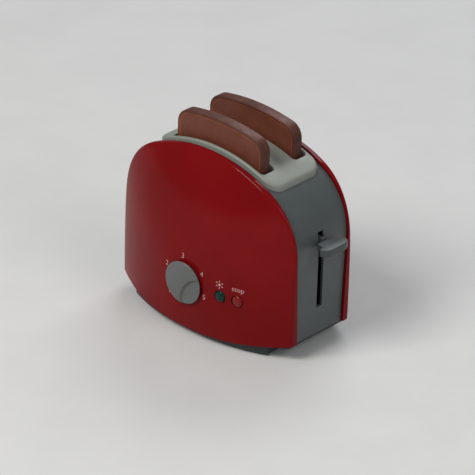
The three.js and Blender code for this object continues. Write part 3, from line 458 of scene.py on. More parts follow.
def bands(rows):
    """The faces between each closed row of points and the next."""
    faces = []
    for low, high in zip(rows, rows[1:]):
        for step in range(len(low)):
            after = (step + 1) % len(low)
            faces.append([low[step], low[after], high[after], high[step]])
    return faces


def smooth(thing, angle=PLAIN_ANGLE):
    """Smooth shading that keeps edges sharper than the angle."""
    limit = math.radians(angle)
    mesh = thing.data
    work = bmesh.new()
    work.from_mesh(mesh)
    bmesh.ops.recalc_face_normals(work, faces=work.faces)
    for face in work.faces:
        face.smooth = True
    for edge in work.edges:
        edge.smooth = len(edge.link_faces) == 2 and edge.calc_face_angle(0) < limit
    work.to_mesh(mesh)
    work.free()


def clean(thing):
    """Merges points that coincide and takes out faces without area."""
    work = bmesh.new()
    work.from_mesh(thing.data)
    bmesh.ops.remove_doubles(work, verts=work.verts, dist=MERGE_DISTANCE)
    bmesh.ops.dissolve_degenerate(work, edges=work.edges, dist=MERGE_DISTANCE)
    loose = [edge for edge in work.edges if not edge.link_faces]
    bmesh.ops.delete(work, geom=loose, context="EDGES")
    work.to_mesh(thing.data)
    work.free()


def apply_modifiers(thing):
    """Turns what the modifiers make into the object's own mesh."""
    graph = bpy.context.evaluated_depsgraph_get()
    made = bpy.data.meshes.new_from_object(thing.evaluated_get(graph))
    thing.modifiers.clear()
    old = thing.data
    thing.data = made
    bpy.data.meshes.remove(old)


def unite(thing, other):
    boolean = thing.modifiers.new("join", "BOOLEAN")
    boolean.operation = "UNION"
    boolean.solver = "EXACT"
    boolean.object = other
    apply_modifiers(thing)
    bpy.data.objects.remove(other)


def cut(thing, cutters):
    for cutter in cutters:
        boolean = thing.modifiers.new("cut", "BOOLEAN")
        boolean.operation = "DIFFERENCE"
        boolean.solver = "EXACT"
        boolean.object = cutter
    apply_modifiers(thing)
    clean(thing)
    for cutter in cutters:
        bpy.data.objects.remove(cutter)


def bevel(thing, width, segments, angle):
    modifier = thing.modifiers.new("edge", "BEVEL")
    modifier.width = width
    modifier.segments = segments
    modifier.limit_method = "ANGLE"
    modifier.angle_limit = math.radians(angle)
    apply_modifiers(thing)


def turned(name, profile, centre, material, steps):
    """A turned piece about the Y direction: pairs of radius and depth towards the front."""
    points = []
    rows = []
    for radius, depth in profile:
        if radius == 0:
            rows.append([len(points)] * steps)
            points.append((centre[0], -depth, centre[1]))
            continue
        rows.append([])
        for step in range(steps):
            angle = 2 * math.pi * step / steps
            x = centre[0] + radius * math.cos(angle)
            z = centre[1] + radius * math.sin(angle)
            rows[-1].append(len(points))
            points.append((x, -depth, z))
    merged = [list(dict.fromkeys(face)) for face in bands(rows)]
    return new_object(name, points, [face for face in merged if len(face) > 2], material)


def rounded_edge(radius, top, edge, steps):
    """The part of a profile that rounds the edge of a round piece, as radius and depth."""
    for step in range(steps + 1):
        turn = math.pi / 2 * step / steps
        yield radius - edge * (1 - math.cos(turn)), top - edge * (1 - math.sin(turn))


def round_bar(x, z, radius, front_depth, rear_depth, material):
    """A round cutter along Y, between two depths counted towards the front."""
    profile = [(0, rear_depth), (radius, rear_depth), (radius, front_depth), (0, front_depth)]
    return turned("cutter", profile, (x, z), material, BAR_STEPS)


def corners():
    """Signs of the four corners in the order in which the feet and screws are numbered."""
    return [(side_x, side_y) for side_x in (-1, 1) for side_y in (-1, 1)]


# Outline and dome

SHOULDER_X = BODY_HALF_WIDTH - SHOULDER_RADIUS
TOP_CENTRE = BODY_HEIGHT - TOP_RADIUS
SHOULDER_Z = TOP_CENTRE + math.sqrt((TOP_RADIUS - SHOULDER_RADIUS) ** 2 - SHOULDER_X ** 2)
SHOULDER_TURN = math.atan2(SHOULDER_Z - TOP_CENTRE, SHOULDER_X)


def arch_point(share, inset):
    """A point of the arch, from the right shoulder's foot (0) to the left one's (1)."""
    mirrored = share > 0.5
    half = 1 - share if mirrored else share
    shoulder_length = SHOULDER_RADIUS * SHOULDER_TURN
    top_length = TOP_RADIUS * (math.pi / 2 - SHOULDER_TURN)
    along = 2 * half * (shoulder_length + top_length)
    if along < shoulder_length:
        turn = along / SHOULDER_RADIUS
        x = SHOULDER_X + (SHOULDER_RADIUS - inset) * math.cos(turn)
        z = SHOULDER_Z + (SHOULDER_RADIUS - inset) * math.sin(turn)
    else:
        turn = SHOULDER_TURN + (along - shoulder_length) / TOP_RADIUS
        x = (TOP_RADIUS - inset) * math.cos(turn)
        z = TOP_CENTRE + (TOP_RADIUS - inset) * math.sin(turn)
    return (-x if mirrored else x), z


def arch_height(x, inset):
    """Height of the arch over a place along the body."""
    reach = abs(x)
    if reach < (TOP_RADIUS - inset) * math.cos(SHOULDER_TURN):
        return TOP_CENTRE + math.sqrt((TOP_RADIUS - inset) ** 2 - reach ** 2)
    over = min(reach - SHOULDER_X, SHOULDER_RADIUS - inset)
    return SHOULDER_Z + math.sqrt((SHOULDER_RADIUS - inset) ** 2 - over ** 2)


def shell_foot(x):
    return SMILE_HEIGHT + (SIDE_FOOT - SMILE_HEIGHT) * (x / BODY_HALF_WIDTH) ** 2


def arc_sag(radius, distance):
    return radius - math.sqrt(radius ** 2 - distance ** 2)


def dome_at(x, z):
    plan = arc_sag(DOME_PLAN_RADIUS, x)
    rise = arc_sag(DOME_RISE_RADIUS, z - DOME_WAIST)
    return DOME_DEPTH - (plan ** DOME_BLEND_POWER + rise ** DOME_BLEND_POWER) ** (1 / DOME_BLEND_POWER)


def rim_at(z):
    return RIM_DEPTH_BOTTOM + (RIM_DEPTH_TOP - RIM_DEPTH_BOTTOM) * (z / BODY_HEIGHT)


def path_place(step):
    """Column and row of the U-shaped path up the right side, over the arch and down the left."""
    if step < SIDE_STEPS:
        return 0, step
    if step <= SIDE_STEPS + ARCH_STEPS:
        return step - SIDE_STEPS, SIDE_STEPS
    return ARCH_STEPS, PATH_STEPS - step


def column_point(column, row, inset):
    x, top = arch_point(column / ARCH_STEPS, inset)
    foot = shell_foot(x)
    return x, foot + (top - foot) * row / SIDE_STEPS


def shell_sheet(inset, points):
    """One face of a shell: a grid over the dome, a rounded edge and a return to the rim."""
    grid = []
    for column in range(ARCH_STEPS + 1):
        grid.append([])
        for row in range(SIDE_STEPS + 1):
            x, z = column_point(column, row, inset + SHELL_EDGE)
            grid[column].append(len(points))
            points.append((x, dome_at(x, z) - inset, z))
    rings = [[]]
    for step in range(PATH_STEPS + 1):
        column, row = path_place(step)
        rings[0].append(grid[column][row])
    for ring in range(1, EDGE_STEPS + 2):
        turn = min(ring, EDGE_STEPS) / EDGE_STEPS * math.pi / 2
        ring_inset = inset + SHELL_EDGE * (1 - math.sin(turn))
        drop = SHELL_EDGE * (1 - math.cos(turn))
        rings.append([])
        for step in range(PATH_STEPS + 1):
            x, z = column_point(*path_place(step), ring_inset)
            depth = rim_at(z) if ring > EDGE_STEPS else dome_at(x, z) - inset - drop
            rings[ring].append(len(points))
            points.append((x, max(depth, rim_at(z)), z))
    return grid, rings


def make_shell(name, side, material):
    points = []
    sheets = [shell_sheet(0, points), shell_sheet(SHELL_WALL, points)]
    faces = []
    for sheet, (grid, rings) in enumerate(sheets):
        flip = sheet == 1
        for column in range(ARCH_STEPS):
            for row in range(SIDE_STEPS):
                near, far = grid[column], grid[column + 1]
                face = [near[row], near[row + 1], far[row + 1], far[row]]
                faces.append(face[::-1] if flip else face)
        for low, high in zip(rings, rings[1:]):
            for step in range(PATH_STEPS):
                face = [low[step], high[step], high[step + 1], low[step + 1]]
                faces.append(face[::-1] if flip else face)
    borders = []
    for grid, rings in sheets:
        border = list(rings[-1])
        border += [ring[PATH_STEPS] for ring in reversed(rings[1:-1])]
        border += [grid[column][0] for column in range(ARCH_STEPS, -1, -1)]
        border += [ring[0] for ring in rings[1:-1]]
        borders.append(border)
    outer, inner = borders
    for step in range(len(outer)):
        after = (step + 1) % len(outer)
        faces.append([outer[step], inner[step], inner[after], outer[after]])
    placed = [(x, side * depth, z) for x, depth, z in points]
    if side > 0:
        faces = [face[::-1] for face in faces]
    shell = new_object(name, placed, faces, material)
    clean(shell)
    smooth(shell, CURVED_ANGLE)
    return shell


def rounded_outline(half_x, half_y, radius, centre_x=0, centre_y=0):
    """A rounded rectangle, counter-clockwise, with points along its straight sides too."""
    points = []
    tips = [(half_x, half_y), (-half_x, half_y), (-half_x, -half_y), (half_x, -half_y)]
    for quarter, (x, y) in enumerate(tips):
        middle_x = x - math.copysign(radius, x)
        middle_y = y - math.copysign(radius, y)
        for step in range(CORNER_STEPS + 1):
            turn = math.pi / 2 * (quarter + step / CORNER_STEPS)
            points.append((middle_x + radius * math.cos(turn), middle_y + radius * math.sin(turn)))
    filled = []
    for start, end in zip(points, points[1:] + points[:1]):
        length = math.dist(start, end)
        parts = max(1, round(length / OUTLINE_SPACING))
        for part in range(parts):
            share = part / parts
            filled.append((start[0] + (end[0] - start[0]) * share, start[1] + (end[1] - start[1]) * share))
    return [(x + centre_x, y + centre_y) for x, y in filled]


def prism_along_z(name, outline, low, high, material):
    points = [(x, y, z) for z in (low, high) for x, y in outline]
    rows = in_rows(len(points), len(outline))
    return new_object(name, points, [rows[0][::-1], rows[1]] + bands(rows), material)


def round_prism(x, y, radius, low, high, material):
    return prism_along_z("part", rounded_outline(radius, radius, radius, x, y), low, high, material)


def arched_band(name, outer_inset, inner_inset, foot, half_at, edge, material):
    """A band that follows the arch from foot to foot, with rounded edges."""
    profile = []
    edges = [(outer_inset, -1, 1), (outer_inset, 1, 1), (inner_inset, 1, -1), (inner_inset, -1, -1)]
    for quarter, (inset, side, inward) in enumerate(edges):
        for step in range(EDGE_STEPS + 1):
            turn = math.pi / 2 * step / EDGE_STEPS
            if quarter % 2:
                turn = math.pi / 2 - turn
            profile.append((inset + inward * edge * (1 - math.sin(turn)), side, edge * (1 - math.cos(turn))))
    points = []
    for step in range(PATH_STEPS + 1):
        column, row = path_place(step)
        for inset, side, narrower in profile:
            x, top = arch_point(column / ARCH_STEPS, inset)
            z = foot + (top - foot) * row / SIDE_STEPS
            points.append((x, side * (half_at(z) - narrower), z))
    rows = in_rows(len(points), len(profile))
    return new_object(name, points, [rows[0], rows[-1][::-1]] + bands(rows), material)


# Shells and housing

def make_shells(materials):
    look = materials["shell"]
    front = make_shell("front_shell_fine", -1, look)
    holes = []
    for x, z, radius in (
            (0, KNOB_HEIGHT, SHAFT_HOLE_RADIUS),
            (GREEN_X, BUTTON_HEIGHT, BUTTON_RADIUS + BUTTON_GAP),
            (RED_X, BUTTON_HEIGHT, BUTTON_RADIUS + BUTTON_GAP)):
        holes.append(round_bar(x, z, radius, DOME_DEPTH + OVERRUN, RIM_DEPTH_BOTTOM, look))
    cut(front, holes)
    smooth(front, CURVED_ANGLE)
    rear = make_shell("rear_shell_fine", 1, look)
    for piece, node in ((front, "front_shell"), (rear, "rear_shell")):
        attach(piece, "body")
        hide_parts(node)


def make_housing(materials):
    look = materials["housing"]
    housing = arched_band(
        "housing_fine", HOUSING_INSET, INNER_INSET, SIDE_FOOT,
        lambda z: rim_at(z) - SEAM_GAP, HOUSING_EDGE, look)
    boss_top = SIDE_FOOT + BOSS_HEIGHT
    cutters = []
    for side_x, side_y in corners():
        x, y = side_x * BOSS_X, side_y * BOSS_SPREAD
        wall = side_x * (BODY_HALF_WIDTH - INNER_INSET + HOUSING_WALL / 2)
        web = rounded_outline(abs(wall - x) / 2, BOSS_RADIUS / 2, WEB_CORNER, (wall + x) / 2, y)
        unite(housing, prism_along_z("part", web, SIDE_FOOT, boss_top, look))
        unite(housing, round_prism(x, y, BOSS_RADIUS, SIDE_FOOT, boss_top, look))
        cutters.append(round_prism(x, y, BORE_RADIUS, 0, SCREW_TOP + SEAT_GAP, look))
    collar = (COLLAR_HALF_LENGTH, COLLAR_HALF_WIDTH, COLLAR_CORNER)
    opening = rounded_outline(*[size + SEAT_GAP for size in collar])
    cutters.append(prism_along_z("cutter", opening, SHOULDER_Z, BODY_HEIGHT + OVERRUN, look))
    outside = BODY_HALF_WIDTH + OVERRUN
    middle = (outside + SHOULDER_X) / 2
    slot = rounded_outline((outside - SHOULDER_X) / 2, LEVER_SLOT_WIDTH / 2, SLOT_CUT_CORNER, middle)
    cutters.append(prism_along_z("cutter", slot, LEVER_SLOT_LOW, LEVER_SLOT_HIGH, look))
    cut(housing, cutters)
    smooth(housing)
    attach(housing, "body")
    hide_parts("housing")


def make_collar(materials):
    """The collar's lips are rounded over on the outside and round both slots."""
    rims = [(COLLAR_HALF_LENGTH, COLLAR_HALF_WIDTH, COLLAR_CORNER, 0, -1, COLLAR_LIP)]
    for side in (-1, 1):
        rims.append((SLOT_LENGTH / 2, SLOT_WIDTH / 2, SLOT_CORNER, side * SLOT_OFFSET, 1, SLOT_LIP))
    points = []
    faces = []
    top_loops = []
    low_loops = []
    for half_x, half_y, corner, middle, outward, lip in rims:
        rows = []
        for ring in range(-1, EDGE_STEPS + 1):
            turn = math.pi / 2 * max(ring, 0) / EDGE_STEPS
            grow = outward * lip * (1 - math.cos(turn))
            outline = rounded_outline(half_x + grow, half_y + grow, corner + grow, 0, middle)
            rows.append([])
            for x, y in outline:
                top = arch_height(x, HOUSING_INSET - COLLAR_PROUD)
                drop = lip * (1 - math.sin(turn))
                z = arch_height(x, COLLAR_UNDER) if ring < 0 else top - drop
                rows[-1].append(len(points))
                points.append((x, y, z))
        faces += bands(rows)
        low_loops.append(rows[0])
        top_loops.append(rows[-1])
    for loops, inset in ((top_loops, HOUSING_INSET - COLLAR_PROUD), (low_loops, COLLAR_UNDER)):
        fill_arched(points, faces, loops, inset)
    collar = new_object("slot_collar_fine", points, faces, materials["collar"], CURVED_ANGLE)
    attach(collar, "body")
    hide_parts("slot_collar")


def fill_arched(points, faces, loops, inset):
    """Fills the area between an outer loop and its holes with a fine mesh that follows the arch."""
    flat = []
    edges = []
    known = []
    for loop in loops:
        start = len(flat)
        for step, point in enumerate(loop):
            flat.append(Vector(points[point][:2]))
            known.append(point)
            edges.append((start + step, start + (step + 1) % len(loop)))
    steps_x = round(2 * COLLAR_HALF_LENGTH / FILL_SPACING)
    steps_y = round(2 * COLLAR_HALF_WIDTH / FILL_SPACING)
    for column in range(1, steps_x):
        for row in range(1, steps_y):
            x = COLLAR_HALF_LENGTH * (2 * column / steps_x - 1)
            y = COLLAR_HALF_WIDTH * (2 * row / steps_y - 1)
            if all(abs(math.dist((x, y), other)) > FILL_SPACING / 2 for other in flat[:len(known)]):
                flat.append(Vector((x, y)))
    made, _, triangles, sources, _, _ = delaunay_2d_cdt(flat, edges, [], 0, MERGE_DISTANCE)
    bounds = []
    start = 0
    for loop in loops:
        bounds.append([flat[start + step] for step in range(len(loop))])
        start += len(loop)
    places = {}
    for triangle in triangles:
        centre = sum((Vector(made[corner]) for corner in triangle), Vector((0, 0))) / len(triangle)
        if not inside(centre, bounds[0]) or any(inside(centre, hole) for hole in bounds[1:]):
            continue
        for corner in triangle:
            if corner in places:
                continue
            first = sources[corner][0] if sources[corner] else len(flat)
            if first < len(known):
                places[corner] = known[first]
            else:
                places[corner] = len(points)
                points.append((*made[corner], arch_height(made[corner][0], inset)))
        faces.append([places[corner] for corner in triangle])


def inside(point, polygon):
    crossings = False
    for start, end in zip(polygon, polygon[1:] + polygon[:1]):
        if (start[1] > point[1]) != (end[1] > point[1]):
            share = (point[1] - start[1]) / (end[1] - start[1])
            if point[0] < start[0] + share * (end[0] - start[0]):
                crossings = not crossings
    return crossings


# Toasts

def corner_arc(centre_x, centre_z, radius, start, end):
    for step in range(TOAST_CORNER_STEPS + 1):
        turn = start + (end - start) * step / TOAST_CORNER_STEPS
        yield centre_x + radius * math.cos(turn), centre_z + radius * math.sin(turn)


def toast_outline(inset):
    """Outline of a slice, from its right lower corner over the low crown to the left lower one."""
    half = TOAST_WIDTH / 2 - inset
    top = TOAST_HEIGHT - inset
    top_corner = TOAST_TOP_CORNER - inset
    low_corner = TOAST_LOW_CORNER - inset / 2
    shoulder = top - TOAST_CROWN - top_corner
    foot = shoulder + top_corner * math.cos(TOAST_LEAN)
    points = list(corner_arc(half - low_corner, inset + low_corner, low_corner, -math.pi / 2, 0))
    points += corner_arc(half - top_corner, shoulder, top_corner, 0, math.pi / 2 - TOAST_LEAN)
    start = half - top_corner * (1 - math.sin(TOAST_LEAN))
    for step in range(1, CROWN_STEPS):
        share = step / CROWN_STEPS
        x = start * (1 - 2 * share)
        points.append((x, foot + 4 * share * (1 - share) * (top - foot)))
    points += corner_arc(-half + top_corner, shoulder, top_corner, math.pi / 2 + TOAST_LEAN, math.pi)
    points += corner_arc(-half + low_corner, inset + low_corner, low_corner, math.pi, 1.5 * math.pi)
    return points


def toast_profile():
    """Inset and depth from the middle plane, from the edge to the face, with the look of each step."""
    half = TOAST_THICKNESS / 2
    rows = [(0, 0, CRUST)]
    for step in range(EDGE_STEPS + 1):
        turn = math.pi / 2 * step / EDGE_STEPS
        rows.append((TOAST_ROUND * (1 - math.cos(turn)), half - TOAST_ROUND * (1 - math.sin(turn)), CRUST))
    # The step into the face's recess carries the painted highlight
    for step in range(EDGE_STEPS + 1):
        share = step / EDGE_STEPS
        ease = share * share * (3 - 2 * share)
        rows.append((CRUST_WIDTH - CRUST_SLOPE / 2 + share * CRUST_SLOPE, half - CRUST_RECESS * ease, LINE))
    rows.append((CRUST_WIDTH + CRUST_SLOPE, half - CRUST_RECESS, FACE))
    return rows


def make_toasts(materials):
    for name, node, side in (("toast_front_fine", "toast_front", -1), ("toast_rear_fine", "toast_rear", 1)):
        points = []
        rows = []
        profile = toast_profile()
        sequence = [(inset, depth, look) for inset, depth, look in reversed(profile)]
        sequence += [(inset, -depth, look) for inset, depth, look in profile[1:]]
        for inset, depth, look in sequence:
            rows.append([])
            for x, z in toast_outline(inset):
                rows[-1].append(len(points))
                points.append((x, side * SLOT_OFFSET - depth, TOAST_FOOT + z))
        faces = bands(rows) + [rows[0], rows[-1][::-1]]
        looks = []
        for (_, _, look), (_, _, next_look) in zip(sequence, sequence[1:]):
            looks += [min(look, next_look)] * len(rows[0])
        looks += [FACE, FACE]
        toast = new_object(name, points, faces, materials["crust"], CURVED_ANGLE)
        # The line's material is a painted highlight along the edge of the face's recess
        toast.data.materials.append(materials["crust_line"])
        toast.data.materials.append(materials["toast"])
        for face, look in zip(toast.data.polygons, looks):
            face.material_index = look
        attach(toast, "front_slice" if side < 0 else "rear_slice")
        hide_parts(node)


# Knob, buttons and lever

def make_knob(materials):
    back = DOME_DEPTH + KNOB_GAP
    top = back + KNOB_THICKNESS
    rim = top - KNOB_CROWN
    profile = [(0, back + KNOB_FLOOR), (KNOB_BORE, back + KNOB_FLOOR), (KNOB_BORE, HUB_REAR)]
    profile += [(HUB_RADIUS, HUB_REAR), (HUB_RADIUS, back), (KNOB_RADIUS - KNOB_TAPER, back)]
    profile += rounded_edge(KNOB_RADIUS, rim, KNOB_EDGE, CONTROL_STEPS)
    for step in range(CONTROL_STEPS - 1, -1, -1):
        share = step / CONTROL_STEPS
        profile.append(((KNOB_RADIUS - KNOB_EDGE) * share, top - KNOB_CROWN * share ** 2))
    look = materials["knob"]
    knob = turned("dial_knob_fine", profile, (0, KNOB_HEIGHT), look, KNOB_TURN_STEPS)
    floor = rim - SCOOP_DEPTH
    mouth = rim + OVERRUN
    flare = SCOOP_RADIUS + SCOOP_SLOPE_SHARE * (mouth - floor)
    sides = [(0, floor), (SCOOP_RADIUS, floor), (flare, mouth), (0, mouth)]
    cut(knob, [turned("cutter", sides, (SCOOP_X, KNOB_HEIGHT - SCOOP_DROP), look, SCOOP_STEPS)])
    smooth(knob, KNOB_ANGLE)
    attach(knob, "dial")
    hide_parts("dial_knob")


def make_button(node, x, look, materials):
    flange_front = dome_at(x + BUTTON_FLANGE_RADIUS, BUTTON_HEIGHT) - SHELL_WALL - 2 * SEAT_GAP
    flange_rear = flange_front - BUTTON_FLANGE
    tail = -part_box(node)[1].y
    face = dome_at(x, BUTTON_HEIGHT)
    profile = [(0, tail), (BUTTON_STEM, tail), (BUTTON_STEM, flange_rear)]
    profile += [(BUTTON_FLANGE_RADIUS, flange_rear), (BUTTON_FLANGE_RADIUS, flange_front)]
    profile.append((BUTTON_RADIUS, flange_front))
    for step in range(CONTROL_STEPS + 1):
        turn = math.pi / 2 * step / CONTROL_STEPS
        radius = BUTTON_RADIUS * math.cos(turn) if step < CONTROL_STEPS else 0
        profile.append((radius, face + BUTTON_DOME * math.sin(turn)))
    button = turned(node + "_fine", profile, (x, BUTTON_HEIGHT), materials[look], BUTTON_TURN_STEPS)
    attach(button, node)
    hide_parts(node)


def bezier(points, steps):
    """Points of a quadratic or cubic curve, without its last one."""
    for step in range(steps):
        row = [Vector(point) for point in points]
        while len(row) > 1:
            row = [first.lerp(second, step / steps) for first, second in zip(row, row[1:])]
        yield tuple(row[0])


def make_lever(materials):
    """A handle with a narrow root and wings that sweep out towards its tip."""
    low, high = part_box("lever_handle")
    start, end = low.x, high.x
    middle = start + LEVER_REACH / 2
    root = LEVER_ROOT_WIDTH / 2
    tip = LEVER_WIDTH / 2
    outline = list(bezier([(start, -root), (middle, -root), (middle, -tip)], LEVER_ROOT_STEPS))
    outline += bezier([(middle, -tip), (end, -tip), (end, -root), (end, 0)], LEVER_TIP_STEPS)
    outline += bezier([(end, 0), (end, root), (end, tip), (middle, tip)], LEVER_TIP_STEPS)
    outline += bezier([(middle, tip), (middle, root), (start, root)], LEVER_ROOT_STEPS)
    outline.append((start, root))
    lever = prism_along_z("lever_handle_fine", outline, low.z, high.z, materials["lever"])
    bevel(lever, LEVER_BEVEL, LEVER_BEVEL_STEPS, LEVER_BEVEL_ANGLE)
    smooth(lever, LEVER_ANGLE)
    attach(lever, "carriage")
    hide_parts("lever_handle")


# Base

def base_outline(half, inset):
    """The base's outline from above, its long sides parallel to the domes' lowest edges."""
    front = []
    for step in range(BASE_STEPS + 1):
        x = half * (2 * step / BASE_STEPS - 1)
        front.append((x, -(dome_at(x, 0) - BASE_INSET - inset)))
    return front + [(x, -y) for x, y in reversed(front)]


def make_base(materials):
    look = materials["base"]
    base = prism_along_z("base_plate_fine", base_outline(PAN_HALF, 0), 0, SHELF_TOP, look)
    bevel(base, BASE_EDGE, BASE_BEVEL_STEPS, BASE_BEVEL_ANGLE)
    unite(base, prism_along_z("part", base_outline(SHELF_HALF, 0), SHELF_FOOT, SHELF_TOP, look))
    hollow = base_outline(PAN_HALF - BASE_WALL, BASE_WALL)
    cut(base, [prism_along_z("cutter", hollow, BASE_FLOOR, SHELF_TOP + OVERRUN, look)])
    for side in (-1, 1):
        middle = -LATCH_OFFSET - side * (LATCH_WIDTH / 2 + SEAT_GAP + EAR_WALL / 2)
        ear = rounded_outline(LATCH_THICKNESS, EAR_WALL / 2, EAR_WALL / 4, LATCH_X, middle)
        unite(base, prism_along_z("part", ear, BASE_FLOOR / 2, LATCH_PIVOT + LATCH_THICKNESS, look))
    foot_y = foot_depth()
    cutters = [round_bar(LATCH_X, LATCH_PIVOT, LATCH_BORE, 2 * LATCH_OFFSET, 0, look)]
    for side_x, side_y in corners():
        x, y = side_x * BOSS_X, side_y * BOSS_SPREAD
        shank = SHANK_RADIUS + SLIDING_GAP
        cutters.append(round_prism(x, y, shank, 0, SHELF_TOP + OVERRUN, look))
        cutters.append(round_prism(x, y, HEAD_RADIUS + SLIDING_GAP, 0, SHELF_FOOT + HEAD_HEIGHT, look))
        place = (side_x * FOOT_X, side_y * foot_y)
        cutters.append(round_prism(*place, FOOT_RADIUS + SLIDING_GAP, -OVERRUN, FOOT_POCKET, look))
    cut(base, cutters)
    smooth(base)
    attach(base, "body")
    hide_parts("base_plate")


def foot_depth():
    return dome_at(FOOT_X, 0) - BASE_INSET - FOOT_RADIUS - FOOT_MARGIN


def stand_up(thing, x, y, z):
    """Turns a piece drawn about Y, front down, and sets it in its place."""
    thing.data.transform(Matrix.Translation((x, y, z)) @ Matrix.Rotation(math.pi / 2, 4, "X"))


def make_feet(materials):
    for number, (side_x, side_y) in enumerate(corners(), 1):
        profile = [(0, -FOOT_POCKET), (FOOT_RADIUS, -FOOT_POCKET)]
        profile += rounded_edge(FOOT_RADIUS, FOOT_HEIGHT, FOOT_EDGE, EDGE_STEPS)
        profile.append((0, FOOT_HEIGHT))
        foot = turned("foot_fine_%d" % number, profile, (0, 0), materials["rubber"], FOOT_TURN_STEPS)
        stand_up(foot, side_x * FOOT_X, side_y * foot_depth(), 0)
        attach(foot, "body")
        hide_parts("foot_%d" % number)


def make_screws(materials):
    """Screws with a crossed recess, from under the shelf up into the housing's bosses."""
    look = materials["steel"]
    tip = SEAT_GAP - SCREW_TOP + SHELF_FOOT
    seat = SLIDING_GAP - HEAD_HEIGHT
    top = SHELF_FOOT + SEAT_GAP + RECESS_DEPTH
    for number, (side_x, side_y) in enumerate(corners(), 1):
        x, y = side_x * BOSS_X, side_y * BOSS_SPREAD
        profile = [(0, tip), (SHANK_RADIUS, tip), (SHANK_RADIUS, seat), (HEAD_RADIUS, seat)]
        profile += rounded_edge(HEAD_RADIUS, -SEAT_GAP, HEAD_EDGE, EDGE_STEPS)
        profile.append((0, -SEAT_GAP))
        screw = turned("base_screw_fine_%d" % number, profile, (0, 0), look, SCREW_TURN_STEPS)
        stand_up(screw, x, y, SHELF_FOOT)
        recess = []
        for half_x, half_y in ((RECESS_REACH, RECESS_WIDTH / 2), (RECESS_WIDTH / 2, RECESS_REACH)):
            outline = rounded_outline(half_x, half_y, RECESS_WIDTH / 4, x, y)
            recess.append(prism_along_z("cutter", outline, SHELF_FOOT - OVERRUN, top, look))
        cut(screw, recess)
        smooth(screw)
        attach(screw, "body")
        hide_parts("base_screw_%d" % number)


# Springs

def coil(name, middle, ahead, radius, wire, length, turns, material):
    """A round wire wound about a middle line that runs the way of ahead."""
    across = Vector((1, 0, 0))
    over = ahead.cross(across)
    steps = turns * COIL_STEPS
    points = []
    for step in range(steps + 1):
        turn = 2 * math.pi * step / COIL_STEPS
        outward = across * math.cos(turn) + over * math.sin(turn)
        centre = middle + ahead * length * (step / steps - 0.5) + outward * radius
        along = ahead.cross(outward) * 2 * math.pi * radius * turns + ahead * length
        rise = along.normalized().cross(outward)
        for side in range(WIRE_SIDES):
            spin = 2 * math.pi * side / WIRE_SIDES
            points.append(centre + (outward * math.cos(spin) + rise * math.sin(spin)) * wire / 2)
    rows = in_rows(len(points), WIRE_SIDES)
    faces = bands(rows) + [rows[0][::-1], rows[-1]]
    return new_object(name, points, faces, material, COIL_ANGLE)


def make_spring(node, joint, fixed_end, materials):
    """A coil in its node's place, along its joint's axis, wound from the end that stays."""
    wire, turns = SPRING_FORMS[node]
    low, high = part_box(node)
    middle = (low + high) / 2
    place = joint["axis"].index(1)
    foot, head = low[place], high[place]
    ahead = Vector(joint["axis"])
    if abs(head - fixed_end) < abs(foot - fixed_end):
        foot, head = head, foot
        ahead = -ahead
    radius = (high.x - low.x - wire) / 2
    length = abs(head - foot) - wire
    spring = coil(node + "_fine", middle, ahead, radius, wire, length, turns, materials["steel"])
    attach(spring, "body")
    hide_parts(node)
    anchor = list(middle)
    anchor[place] = fixed_end
    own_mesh(spring)


def make_springs(materials):
    for joint in frame["joints"]:
        for entry in joint.get("deforming_nodes", []):
            direction = entry["mode"][-1]
            make_spring(entry["node"], joint, entry["fixed_end_" + direction + "_m"], materials)


# Print on the front

def print_mesh(name, text, size, centre, materials):
    """Lettering laid on the dome, its middle over a place of the front."""
    curve = bpy.data.curves.new(name, "FONT")
    curve.body = text
    curve.size = size
    curve.offset = -STROKE_TRIM
    holder = bpy.data.objects.new(name, curve)
    bpy.context.scene.collection.objects.link(holder)
    graph = bpy.context.evaluated_depsgraph_get()
    made = bpy.data.meshes.new_from_object(holder.evaluated_get(graph))
    bpy.data.objects.remove(holder)
    sheet = bpy.data.objects.new(name, made)
    clean(sheet)
    across = [vertex.co.x for vertex in made.vertices]
    upward = [vertex.co.y for vertex in made.vertices]
    middle_x = (min(across) + max(across)) / 2
    middle_y = (min(upward) + max(upward)) / 2
    points = [(x - middle_x, y - middle_y) for x, y in zip(across, upward)]
    faces = [list(face.vertices) for face in made.polygons]
    bpy.data.objects.remove(sheet)
    bpy.data.meshes.remove(made)
    lay_on_dome(name, points, faces, centre, materials)


def lay_on_dome(name, flat, faces, centre, materials):
    """A closed film of ink over the dome, its back just under the surface."""
    points = []
    for lift in (PRINT_LIFT, -PRINT_LIFT):
        for x, z in flat:
            place_x, place_z = centre[0] + x, centre[1] + z
            points.append((place_x, -dome_at(place_x, place_z) - lift, place_z))
    count = len(flat)
    film = faces + [[count + corner for corner in reversed(face)] for face in faces]
    sides = [side for face in faces for side in zip(face, face[1:] + face[:1])]
    uses = Counter(frozenset(side) for side in sides)
    for start, end in sides:
        if uses[frozenset((start, end))] == 1:
            film.append([end, start, count + start, count + end])
    thing = new_object(name, points, film, materials["print"])
    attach(thing, "body")


def make_print(materials):
    for digit, bearing in DIAL_MARKS:
        turn = math.radians(bearing)
        x = DIAL_SHIFT + DIAL_RADIUS * math.sin(turn)
        centre = (x, KNOB_HEIGHT + DIAL_RADIUS * math.cos(turn))
        print_mesh("print_" + digit, digit, DIGIT_SIZE, centre, materials)
    print_mesh("print_stop", "stop", STOP_SIZE, (RED_X + STOP_SHIFT, BUTTON_HEIGHT + STOP_RISE), materials)
    centre = (GREEN_X + RAYS_SHIFT, BUTTON_HEIGHT + RAYS_RISE)
    lay_on_dome("print_rays", *rays(), centre, materials)


